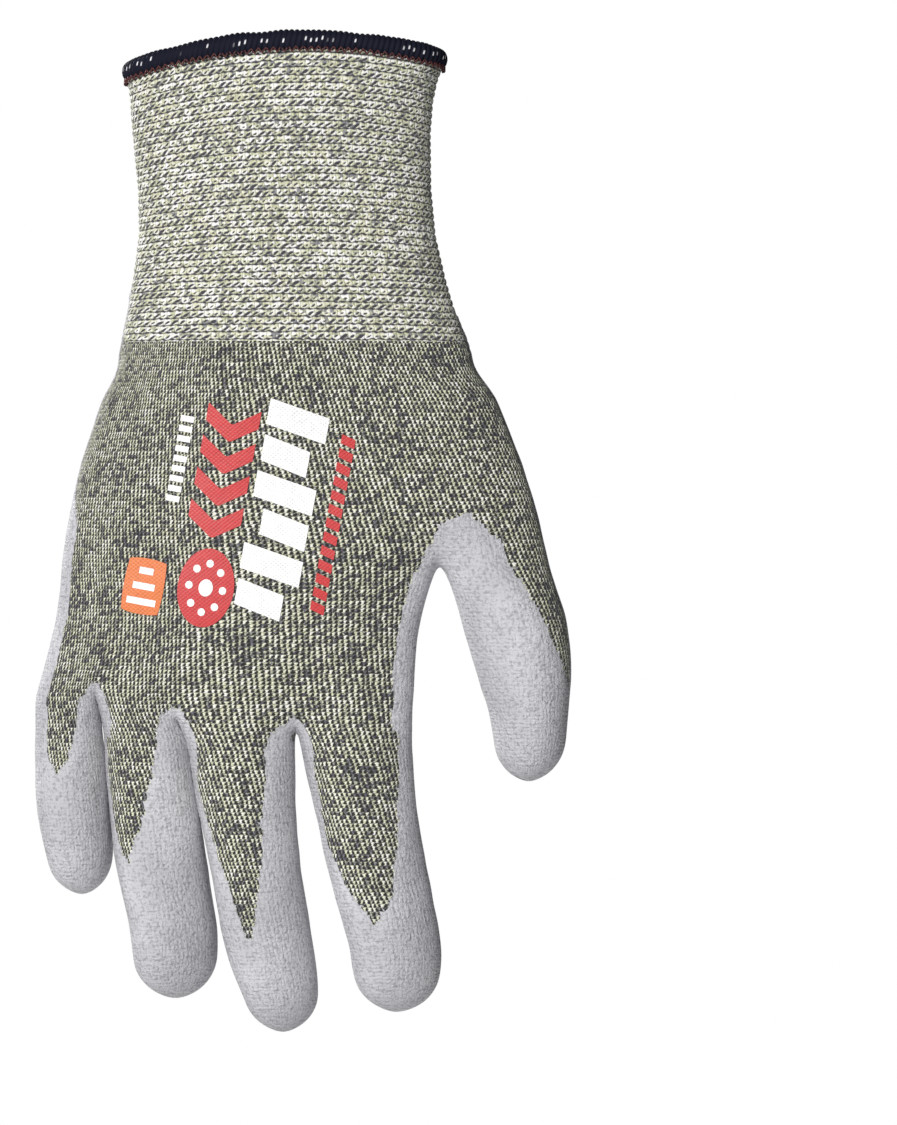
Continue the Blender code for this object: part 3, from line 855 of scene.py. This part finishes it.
def projectToCuff(points):
    # Moves points onto the cuff's flattened oval: fully at the top of the hand, not at all lower down.
    left, right, back, palm = cuffOutline(points[:, 2])
    middle, half = (left + right) / 2, (right - left) / 2
    depth = np.where(points[:, 1] < 0, back, palm)
    x, y = (points[:, 0] - middle) / half, points[:, 1] / depth
    power = hand["ovalPower"]
    radius = (np.abs(x) ** power + np.abs(y) ** power) ** (1 / power)
    share = 1 - smoothStep((folds["top"] - points[:, 2]) / folds["topReach"])
    scale = 1 + (1 / radius - 1) * share
    out = points.copy()
    out[:, 0] = middle + x * scale * half
    out[:, 1] = y * scale * depth
    return out


def groove(away, lip, lipAway, lipWidth):
    # The section of a crease: 1 deep in its middle, with a raised lip on each side.
    return lip * np.exp(-((np.abs(away) - lipAway) / lipWidth) ** 2) - np.exp(-away ** 2)


def shapeFolds(sheet):
    # How far the fabric stands out: billows and crumples, and the palm side's lines and joint creases.
    p, n = sheet["points"], sheet["normals"]
    fade = smoothStep((folds["top"] - p[:, 2]) / folds["topReach"])
    out = ripple(p, folds["billowScale"], 3) * folds["billow"] * fade
    palmSide = smoothStep(n[:, 1] * 1.5)
    crumples = ripple(p * (1.0, 1.0, 1.8), folds["crumpleScale"], 5) * folds["crumple"]
    out += crumples * (0.35 + 0.65 * palmSide) * fade
    for x1, z1, x2, z2, deep in folds["palmLines"]:
        run, rise = x2 - x1, z2 - z1
        along = np.clip(((p[:, 0] - x1) * run + (p[:, 2] - z1) * rise) / (run ** 2 + rise ** 2), 0, 1)
        sag = folds["lineSag"] * np.sin(along * math.pi)
        away = np.hypot(p[:, 0] - x1 - run * along, p[:, 2] - z1 - rise * along - sag) / folds["lineWidth"]
        ends = np.sqrt(np.maximum(np.sin(along * math.pi), 0))
        out += deep * palmSide * ends * groove(away, 0.5, 1.6, 0.9)
    for name in digitNames:
        digit = digits[name]
        low, high = digit["stations"][0][1] - 2, digit["stations"][-1][2] + 2
        inside = (p[:, 0] > low) & (p[:, 0] < high) & (p[:, 2] < digit["borders"][0] + 4)
        for hinge in digit["hinges"]:
            sway = folds["creaseSway"] * np.sin(p[:, 0] * folds["creaseTurn"] + hinge)
            crease = groove((p[:, 2] - hinge - sway) / folds["creaseWidth"], 0.45, 1.9, 1.0)
            out += np.where(inside, crease * folds["jointCrease"] * palmSide, 0)
    return out


def weaveGlove():
    sheet = subdivide(buildCage())
    sheet["points"] = projectToCuff(sheet["points"])
    sheet["normals"] = pointNormals(sheet["points"], sheet["faces"])
    relief = shapeFolds(sheet)
    sheet["points"] = sheet["points"] + sheet["normals"] * relief[:, None]
    sheet["normals"] = pointNormals(sheet["points"], sheet["faces"])
    wales = sheet["wale"] * hand["walesPerColumn"]
    sheet["uv"] = np.stack([wales, -sheet["points"][:, 2] / hand["courseHeight"]], axis=1)
    sheet["palm"] = sheet["area"] % 2 == 1
    sheet["region"] = sheet["area"] // 2
    return sheet


coatEdge = {
    # Film on the back of the hand: a band on the left edge, spots over the webs and the saddle of the thumb.
    "bandTop": -107.0,
    "bandFull": -120.0,
    "bandWale": 0.75,
    "bandOff": -1.1,
    # wale where two digits meet, top of its spot, and the spot's width in wales to the left and the right
    "webSpots": ((4.0, -159.5, 0.95, 0.50), (8.0, -166.0, 0.85, 0.35), (12.0, -168.5, 0.60, 0.30)),
    "spotDrop": 7.0,
    "spotReach": 1.9,
    "spotClosing": 2.4,
    # height, wale of the film's left edge on the hand side of the crotch
    "saddleLeft": (
        (-116.6, 17.3), (-118.5, 16.5), (-121.0, 16.1), (-125.0, 15.8),
        (-132.0, 15.4), (-148.0, 15.3), (-168.0, 15.4),
    ),
    # the crotch of the thumb, the thumb's first wale, and the height at which the saddle ends
    "crotch": -129.5,
    "thumbWale": 15.0,
    "saddleEnd": -172.0,
    "millimetresPerWale": 5.0,
    "ragged": 0.30,
    "raggedScale": 0.42,
    "inside": 5.0,
}


def digitBlocks(sheet):
    # Each point's digit: from its faces on a digit, and from its wale number on the hand.
    block = np.clip(np.floor(sheet["wale"] / 4), 0, 4).astype(int)
    for digit in range(5):
        onDigit = (sheet["region"] == 1 + 2 * digit) | (sheet["region"] == 2 + 2 * digit)
        block[np.unique(sheet["faces"][onDigit])] = digit
    return block


def coatField(sheet):
    # How far inside the film's edge each point lies, roughly in millimetres. Below 0 is bare.
    wale, z, width = sheet["wale"], sheet["points"][:, 2], coatEdge["millimetresPerWale"]
    block = digitBlocks(sheet)
    local = wale - 4 * block + 1
    wedge = np.full(len(wale), -coatEdge["inside"])
    for number, name in enumerate(digitNames):
        table = digits[name]["wedge"]
        low, high = readTable(table, z, 1), readTable(table, z, 2)
        field = np.maximum(np.maximum(low - local, local - high) * width, table[-1][0] - z)
        start = coatEdge["crotch"] - 3 if name == "thumb" else table[0][0]
        wedge = np.where((block == number) & (z < start), field, wedge)
    rise = smoothStep((coatEdge["bandTop"] - z) / (coatEdge["bandTop"] - coatEdge["bandFull"]))
    band = coatEdge["bandOff"] + (coatEdge["bandWale"] - coatEdge["bandOff"]) * rise
    field = np.maximum(wedge, (band - wale) * width)
    for meeting, top, left, right in coatEdge["webSpots"]:
        half = np.where(wale < meeting, left, right)
        spot = top - ((wale - meeting) / half) ** 2 * coatEdge["spotDrop"] - z
        below = np.maximum(top - coatEdge["spotDrop"] - z, 0)
        closing = np.where(wale > meeting, coatEdge["spotClosing"] * below, 0)
        near = (np.abs(wale - meeting) < coatEdge["spotReach"]) & (z > top - 2 * coatEdge["spotDrop"])
        field = np.maximum(field, np.where(near, spot - closing, -coatEdge["inside"]))
    aboveThumb = z > coatEdge["crotch"] - 4
    thumbEdge = coatEdge["thumbWale"] + readTable(digits["thumb"]["wedge"], z, 1)
    thumbEdge = np.where(aboveThumb, thumbEdge, np.inf)
    saddle = np.minimum(wale - readTable(coatEdge["saddleLeft"], z, 1), thumbEdge - wale) * width
    saddle = np.minimum(saddle, coatEdge["saddleLeft"][0][0] - z)
    onSaddle = (block >= 3) & (z > coatEdge["saddleEnd"]) & ((block == 3) | aboveThumb)
    field = np.maximum(field, np.where(onSaddle, saddle, -coatEdge["inside"]))
    field = field + coatEdge["ragged"] * ripple(sheet["points"], coatEdge["raggedScale"], 11)
    backPoints = np.zeros(len(wale), bool)
    backPoints[np.unique(sheet["faces"][~sheet["palm"]])] = True
    return np.where(backPoints, np.clip(field, -coatEdge["inside"], coatEdge["inside"]), coatEdge["inside"])


def layFilm(sheet, field, lift, edgeLift):
    # The film's points: lifted along the normals, and its outermost ones drawn in to where the field is 0.
    # Each face gives three of its sides. The first counts twice, for its neighbour's fourth.
    ends = np.concatenate([sheet["faces"][:, side] for side in ([0, 3], [1, 0], [2, 1], [1, 0])])
    ends = np.concatenate([ends, ends[:, ::-1]])
    crossing = (field[ends[:, 0]] <= 0) & (field[ends[:, 1]] > 0)
    bare, wet = ends[crossing, 0], ends[crossing, 1]
    share = (field[bare] / (field[bare] - field[wet]))[:, None]
    total, count = np.zeros_like(sheet["points"]), np.zeros(len(field))
    np.add.at(total, bare, sheet["points"][bare] * (1 - share) + sheet["points"][wet] * share)
    np.add.at(count, bare, 1)
    points = np.where(count[:, None] > 0, total / np.maximum(count, 1)[:, None], sheet["points"])
    height = edgeLift + (lift - edgeLift) * smoothStep(field / coats["rise"])
    return points + sheet["normals"] * height[:, None]


coats = {
    "lift": 0.32,
    "edgeLift": 0.12,
    # distance from the edge over which the film reaches its full lift
    "rise": 2.0,
    "wall": 0.62,
    "knitWall": 1.0,
    "cuffLift": 0.30,
    "cuffWall": 0.7,
}
glove = weaveGlove()
wetness = coatField(glove)
filmFaces = (wetness[glove["faces"]] > 0).any(axis=1)
filmPoints = layFilm(glove, wetness, coats["lift"], coats["edgeLift"])
print("the glove's surface has", len(glove["faces"]), "faces")


def dress(piece, material, slotName, *nodes):
    piece.data.materials.clear()
    piece.data.materials.append(material)
    if nodes:
        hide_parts(*nodes)
    return piece


# How far a digit's bend would reach past its borders, above and below; the digits are not bent here.
bendAbove, bendBelow = 0.8, 0.5


def makeHand():
    onHand = glove["region"] == 0
    knit = giveWall(cutOut("handKnit", glove, onHand), coats["knitWall"])
    dress(knit, knitOfHand, "hand_knit", "hand_knit")
    film = giveWall(cutOut("palmCoating", glove, onHand & filmFaces, filmPoints), coats["wall"])
    dress(film, coating, "palm_coating", "coating_palm")
    for piece in (knit, film):
        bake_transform(piece)
    return knit


def makeDigit(block, name):
    digit = digits[name]
    first, second = digit["borders"]
    last = 2 * digit["hinges"][1] - second
    jobs = (
        ("lower", "hand", name + "_lower", first - bendAbove, second + bendBelow),
        ("upper", name + "_lower", name + "_upper", second - bendAbove, last + bendAbove),
    )
    for number, (part, above, below, start, end) in enumerate(jobs):
        here = glove["region"] == 1 + 2 * block + number
        knit = giveWall(cutOut(f"{name}Knit_{part}", glove, here), coats["knitWall"])
        dress(knit, knitOfHand, "hand_knit", f"{name}_knit_{part}")
        film = giveWall(cutOut(f"{name}Coating_{part}", glove, here & filmFaces, filmPoints), coats["wall"])
        dress(film, coating, "palm_coating", f"{name}_coating_{part}")
        for piece in (knit, film):
            start * mm
            end * mm
            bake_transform(piece)


handKnit = makeHand()
for block, name in enumerate(digitNames):
    makeDigit(block, name)
print("hand and digits are knitted and dipped")


def evenAngles(count):
    # Angles round the flattened oval whose points are evenly spaced.
    fine = np.linspace(0, 2 * math.pi, cuff["fineSteps"])
    x, y, _ = cuffPoint(fine, np.full_like(fine, cuff["measuredAt"]))
    length = np.concatenate([[0], np.cumsum(np.hypot(np.diff(x), np.diff(y)))])
    return np.interp(np.arange(count) / count * length[-1], length, fine)


def cuffPoint(angle, z, grow=0.0):
    # A point of the flattened oval, whose angle starts at the left.
    left, right, back, palm = cuffOutline(z)
    c, s = -np.cos(angle), -np.sin(angle)
    depth = np.where(s < 0, back, palm) + grow
    power = 2 / hand["ovalPower"]
    x = (left + right) / 2 + ((right - left) / 2 + grow) * np.sign(c) * np.abs(c) ** power
    return x, depth * np.sign(s) * np.abs(s) ** power, z


def rimArch(x):
    return cuff["arch"] * np.clip(1 - (x / cuff["archHalf"]) ** 2, 0, 1) + cuff["tilt"] * x


def cuffSheet(rows, columns, relief, firstShare=0.0):
    # The tube as a grid: rows run from the arched rim to the hand, and relief(u, v) stands out from it.
    share = np.linspace(firstShare, 1, rows)
    angle = evenAngles(columns)
    share, angle = (a.ravel() for a in np.meshgrid(share, angle, indexing="ij"))
    z = cuff["top"] + (cuff["bottom"] - cuff["top"]) * share
    x, y, _ = cuffPoint(angle, z)
    x2, y2, _ = cuffPoint(angle, z + rimArch(x) * (1 - share))
    points = np.stack([x2, y2, z + rimArch(x2) * (1 - share)], axis=1)
    faces = gridFaces(rows, columns)
    normals = pointNormals(points, faces)
    u = np.tile(np.arange(columns) / columns * cuff["loops"], rows)
    v = share * cuff["ribs"]
    points = points + normals * relief(u, v, points)[:, None]
    normals = pointNormals(points, faces)
    return {"points": points, "faces": faces, "normals": normals, "uv": np.stack([u, v], axis=1)}


def slowWaves(v, points):
    # Broad waves over the cuff, flattened along it, which end at the hand.
    high, scale, seed, reach = cuff["waves"]
    waves = high * ripple(points * (1.0, 1.0, 0.5), scale, seed)
    return waves * (1 - smoothStep((v - cuff["ribs"] + reach) / reach))


def ribSwell(v):
    return np.sqrt(np.abs(np.sin(math.pi * (v - np.floor(v)))))


def ribRelief(u, v, points):
    # Each rib swells between two grooves, with a small dip at each loop's middle.
    b = v - np.floor(v)
    shifted = u + np.floor(v) * loopShift
    a = shifted - np.floor(shifted) - 0.5
    dip = np.exp(-(a / 0.22) ** 2 - ((b - 0.5) / 0.2) ** 2)
    fade = 1 - smoothStep((v - cuff["ribs"] + cuff["lastRibs"]) / cuff["lastRibs"])
    ribs = cuff["ribRelief"] * (ribSwell(v) - 0.75) - cuff["loopRelief"] * dip
    return ribs * fade + slowWaves(v, points) - cuff["sink"]


def paintCuffUv(piece):
    # Sets the loop number on each face corner, so that it runs on over the seam instead of back to 0.
    layer = piece.data.uv_layers["UVMap"]
    corners = pull(layer.uv, "vector", 2, np.float32).reshape(-1, 4, 2)
    loop = corners[:, :, 0]
    wrapped = loop.max(axis=1) - loop.min(axis=1) > cuff["loops"] / 2
    corners[:, :, 0] += np.where(wrapped[:, None] & (loop < cuff["loops"] / 2), cuff["loops"], 0)
    layer.uv.foreach_set("vector", corners.ravel())


def makeCuff():
    rows = cuff["ribs"] * cuff["rowsPerRib"] + 1
    columns = cuff["loops"] * cuff["columnsPerLoop"]
    sheet = cuffSheet(rows, columns, ribRelief)
    knit = addMesh("cuffKnit", sheet["points"], sheet["faces"], sheet["uv"])
    paintCuffUv(knit)
    giveWall(knit, cuff["wall"])
    dress(knit, knitOfCuff, "cuff_knit", "cuff_knit")
    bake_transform(knit)


filmTop = {
    # height of the film's upper edge on the palm side, with x across the cuff first, from right to left
    "edge": ((44.0, -61.0), (20.0, -53.0), (0.0, -48.5), (-20.0, -49.5), (-44.0, -56.0)),
    # the film stops at this depth at the sides, where its corners are rounded
    "sideY": 1.5,
    "cornerDrop": 12.0,
    "cornerReach": 2.0,
    "firstShare": 0.55,
    "rows": 56,
    "columns": 220,
    "ribRelief": 0.16,
    "ragged": 0.5,
    "walesPerLoop": 1.6,
}


def filmRelief(_, v, points):
    # The ribs show through the film, with lumps of its own.
    return slowWaves(v, points) + filmTop["ribRelief"] * ribSwell(v) + 0.12 * ripple(points, 2.2, 31)


def makeWristFilm():
    sheet = cuffSheet(filmTop["rows"], filmTop["columns"], filmRelief, filmTop["firstShare"])
    centre = sheet["points"][sheet["faces"]].mean(axis=1)
    inward = centre[:, 1] - filmTop["sideY"]
    edge = readTable(filmTop["edge"], centre[:, 0], 1) + filmTop["ragged"] * ripple(centre, 1.5, 41)
    edge -= filmTop["cornerDrop"] * np.exp(-inward / filmTop["cornerReach"])
    keep = (inward > 0) & (centre[:, 2] < edge)
    wales = sheet["uv"][:, 0] * filmTop["walesPerLoop"]
    courses = -sheet["points"][:, 2] / hand["courseHeight"]
    sheet["uv"] = np.stack([wales, courses], axis=1)
    lifted = sheet["points"] + sheet["normals"] * coats["cuffLift"]
    film = giveWall(cutOut("wristCoating", sheet, keep, lifted), coats["cuffWall"])
    dress(film, coating, "palm_coating", "coating_wrist")
    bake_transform(film)


def tube(path, radius, closed, turnsPerPoint, sides=6):
    # A round thread along a path: rings square to it, drawn in almost to a point at each free end.
    ahead = np.roll(path, -1, axis=0) - np.roll(path, 1, axis=0)
    if not closed:
        ahead[0], ahead[-1] = path[1] - path[0], path[-1] - path[-2]
    ahead = unit(ahead)
    side = unit(np.cross(ahead, (0.0, 0.0, 1.0)))
    up = np.cross(side, ahead)
    angle = np.arange(sides) * 2 * math.pi / sides
    ring = side[:, None] * np.cos(angle)[:, None] + up[:, None] * np.sin(angle)[:, None]
    thick = np.full(len(path), radius)
    if not closed:
        thick[0] = thick[-1] = radius * 0.05
    points = (path[:, None] + ring * thick[:, None, None]).reshape(-1, 3)
    faces = gridFaces(len(path), sides, True, closed)[:, ::-1]
    u = np.repeat(np.arange(len(path)) * turnsPerPoint, sides)
    v = np.tile(np.arange(sides) / sides, len(path))
    return points, faces, np.stack([u, v], axis=1)


hem = {
    "wraps": 140,
    "pointsPerWrap": 9,
    "sides": 22,
    "height": 2.3,
    "halfWidth": 1.75,
    "centre": 1.15,
    "ridge": 0.42,
    "lean": 0.9,
    "wander": 0.16,
}


def rimPath(count, grow):
    angle = evenAngles(count)
    x, y, z = cuffPoint(angle, np.full(count, cuff["top"]))
    x, y, _ = cuffPoint(angle, z + rimArch(x), grow)
    return np.stack([x, y, cuff["top"] + rimArch(x)], axis=1)


def makeHem():
    # A fat bead over the rim: its section is an ellipse, and each wrap of yarn is a leaning ridge.
    count = hem["wraps"] * hem["pointsPerWrap"]
    path = rimPath(count, -cuff["wall"] / 2)
    ahead = unit(np.roll(path, -1, axis=0) - np.roll(path, 1, axis=0))
    outward = unit(np.cross(ahead, (0, 0, 1.0)))
    theta = np.arange(hem["sides"]) * 2 * math.pi / hem["sides"]
    wrap = np.arange(count)[:, None] / hem["pointsPerWrap"] + hem["lean"] * np.cos(theta)[None] / 2
    ridge = np.abs(np.sin(math.pi * wrap)) ** 0.7
    swell = hem["ridge"] * (ridge - 0.4) + hem["wander"] * ripple(path, 1.4, 51)[:, None]
    wide = (hem["halfWidth"] + swell) * np.sin(theta)[None]
    high = (hem["height"] + swell) * -np.cos(theta)[None] + hem["centre"]
    points = path[:, None] + outward[:, None] * wide[..., None] + np.array((0, 0, 1.0)) * high[..., None]
    faces = gridFaces(count, hem["sides"], True, True)
    uv = np.stack([wrap, np.broadcast_to(theta / (2 * math.pi), wrap.shape)], axis=-1).reshape(-1, 2)
    bead = addMesh("hemOverlock", points.reshape(-1, 3), faces, uv)
    outwards(bead)
    dress(bead, hemYarn, "hem_yarn", "hem_overlock")
    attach(bead, "cuff")


def outwards(piece):
    # Turns the faces of a closed piece outwards.
    work = bmesh.new()
    work.from_mesh(piece.data)
    bmesh.ops.recalc_face_normals(work, faces=work.faces)
    work.to_mesh(piece.data)
    work.free()


stitch = {
    "stitches": 105,
    "pointsPerStitch": 10,
    "radius": 0.23,
    "drop": -1.15,
    "swing": 0.65,
    "grow": 0.55,
    # how far each swing goes towards a sharp zigzag, and its widest angle then
    "sharpness": 0.94,
    "widest": 1.22,
}


def makeNeedleThread():
    # A zigzag along the hem's lower edge, rounded at its turns.
    count = stitch["stitches"] * stitch["pointsPerStitch"]
    path = rimPath(count, stitch["grow"])
    phase = np.arange(count) / stitch["pointsPerStitch"] * 2 * math.pi
    zigzag = np.arcsin(stitch["sharpness"] * np.sin(phase)) / stitch["widest"]
    path[:, 2] += stitch["drop"] + stitch["swing"] * zigzag
    points, faces, uv = tube(path, stitch["radius"], True, 0.25)
    thread = addMesh("hemNeedleThread", points, faces, uv)
    outwards(thread)
    dress(thread, redThread, "needle_thread", "hem_needle_thread")
    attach(thread, "cuff")


elasticYarn = {
    "turns": 16,
    "pointsPerTurn": 90,
    "top": -9.0,
    "bottom": -60.0,
    "radius": 0.33,
    "gap": 0.8,
}


def makeElastic():
    # One yarn wound down the inside of the cuff at an even pitch.
    steps = elasticYarn["turns"] * elasticYarn["pointsPerTurn"]
    k = np.arange(steps + 1)
    z = elasticYarn["top"] + (elasticYarn["bottom"] - elasticYarn["top"]) * k / steps
    angle = evenAngles(elasticYarn["pointsPerTurn"])[k % elasticYarn["pointsPerTurn"]]
    x, y, _ = cuffPoint(angle, z, -(cuff["wall"] + elasticYarn["gap"] + elasticYarn["radius"]))
    points, faces, uv = tube(np.stack([x, y, z], axis=1), elasticYarn["radius"], False, 0.6)
    yarn = addMesh("elasticYarn", points, faces, uv)
    outwards(yarn)
    dress(yarn, elastic, "elastic_yarn", "cuff_elastic_yarn")
    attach(yarn, "cuff")


makeCuff()
makeWristFilm()
makeHem()
makeNeedleThread()
makeElastic()
print("cuff, hem and threads are made")


ink = {
    "cell": 0.8,
    "lift": 0.16,
    # further lift of the marks that lie on another print
    "overLift": 0.14,
    "wall": 0.22,
    "slant": math.radians(10.5),
    "startY": -40.0,
    "waleWidth": 1.2,
}


def bar(along, across, length, width, lean=0.0, bend=0.0, roundness=0.0):
    # A bar on a grid: lean shears it, bend makes it a chevron and roundness pulls its corners in.
    rows, columns = (max(3, round(size / ink["cell"]) + 1) for size in (length, width))
    s, t = np.meshgrid(np.linspace(-1, 1, rows), np.linspace(-1, 1, columns), indexing="ij")
    s, t = s.ravel(), t.ravel()
    if roundness > 0:
        soft = 1 - roundness
        narrowS, narrowT = (soft + roundness * np.sqrt(1 - other ** 2 / 2) for other in (t, s))
        s, t = s * narrowS, t * narrowT
    a = along + s * length / 2 + lean * t + bend * (1 - np.abs(t))
    c = across + t * width / 2
    return np.stack([a, c], axis=1), gridFaces(rows, columns, False)


def layPrint(name, corner, shapes, colour, nodes=(), lift=0.0):
    # Joins flat shapes, turns them along the slanted print line and projects them onto the back of the hand.
    points, faces, first = [], [], 0
    for flat, quads in shapes:
        points.append(flat)
        faces.append(quads + first)
        first += len(flat)
    flat = np.concatenate(points)
    along = np.array((-math.sin(ink["slant"]), -math.cos(ink["slant"])))
    across = np.array((math.cos(ink["slant"]), -math.sin(ink["slant"])))
    xz = np.array(corner) + flat[:, :1] * along + flat[:, 1:] * across
    level = np.stack([xz[:, 0], np.full(len(xz), ink["startY"]), xz[:, 1]], axis=1)
    uv = np.stack([xz[:, 0] / ink["waleWidth"], -xz[:, 1] / hand["courseHeight"]], axis=1)
    piece = addMesh(name, level, np.concatenate(faces), uv)
    if piece.data.polygons[0].normal.y > 0:
        piece.data.flip_normals()
    wrap = piece.modifiers.new("lay", "SHRINKWRAP")
    wrap.wrap_method = "PROJECT"
    wrap.use_project_y = True
    wrap.target = handKnit
    settle(piece)
    co = pull(piece.data.vertices, "co", 3)
    co[1::3] -= (ink["lift"] + lift) * mm
    piece.data.vertices.foreach_set("co", co)
    giveWall(piece, ink["wall"], 0.0)
    dress(piece, inks[colour], colour + "_print", *nodes)
    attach(piece, "hand")


def makePrints():
    whiteBars = [bar(at, shift, 6.6, width, lean) for at, shift, width, lean in (
        (4.0, 0.0, 15.5, 1.2), (13.2, -1.5, 12.0, 1.2), (22.4, 0.0, 15.5, 1.2), (31.6, 1.5, 12.0, 1.2),
        (40.8, 0.0, 15.5, 1.2), (50.0, -1.5, 12.0, 1.2),
    )]
    layPrint("whiteBars", (4.8, -89.5), whiteBars, "white", ["print_white_bars"])
    redBars = [bar(at, 0.0, 4.4, 13.5, 0.0, 4.6) for at in (2.6, 10.8, 19.0, 27.2)]
    layPrint("redChevrons", (-11.6, -89.5), redBars, "red", ["print_red_bars"])
    disc = [bar(0.0, 0.0, 20.0, 14.2, roundness=1.0)]
    layPrint("roundMark", (-19.2, -135.4), disc, "red", ["print_round_mark"])
    turns = np.arange(8) * math.pi / 4
    dots = [bar(6.2 * math.cos(a), 4.3 * math.sin(a), 2.1, 1.9, roundness=1.0) for a in turns]
    dots.append(bar(0.0, 0.0, 4.4, 3.6, roundness=1.0))
    layPrint("roundMarkDots", (-19.2, -135.4), dots, "white", lift=ink["overLift"])
    badge = [bar(0.0, 0.0, 14.2, 10.2, roundness=0.28)]
    layPrint("levelBadge", (-34.9, -135.0), badge, "orange", ["print_level_badge"])
    marks = [bar(at, 0.0, 1.7, width) for at, width in ((-3.9, 3.6), (0.0, 5.6), (3.9, 7.4))]
    layPrint("levelBadgeBars", (-34.9, -135.0), marks, "white", lift=ink["overLift"])
    dashes = [bar(1.2 + 2.55 * k, 0.0, 1.5, 3.4) for k in range(9)]
    layPrint("whiteDashes", (-23.6, -91.6), dashes, "white", ["print_white_rule"])
    ticks = [bar(1.6 + 3.55 * k, 0.0, 2.3, 3.6, 0.5) for k in range(13)]
    layPrint("redDashes", (17.0, -97.0), ticks, "red", ["print_red_rule"])


makePrints()
print("prints are laid")
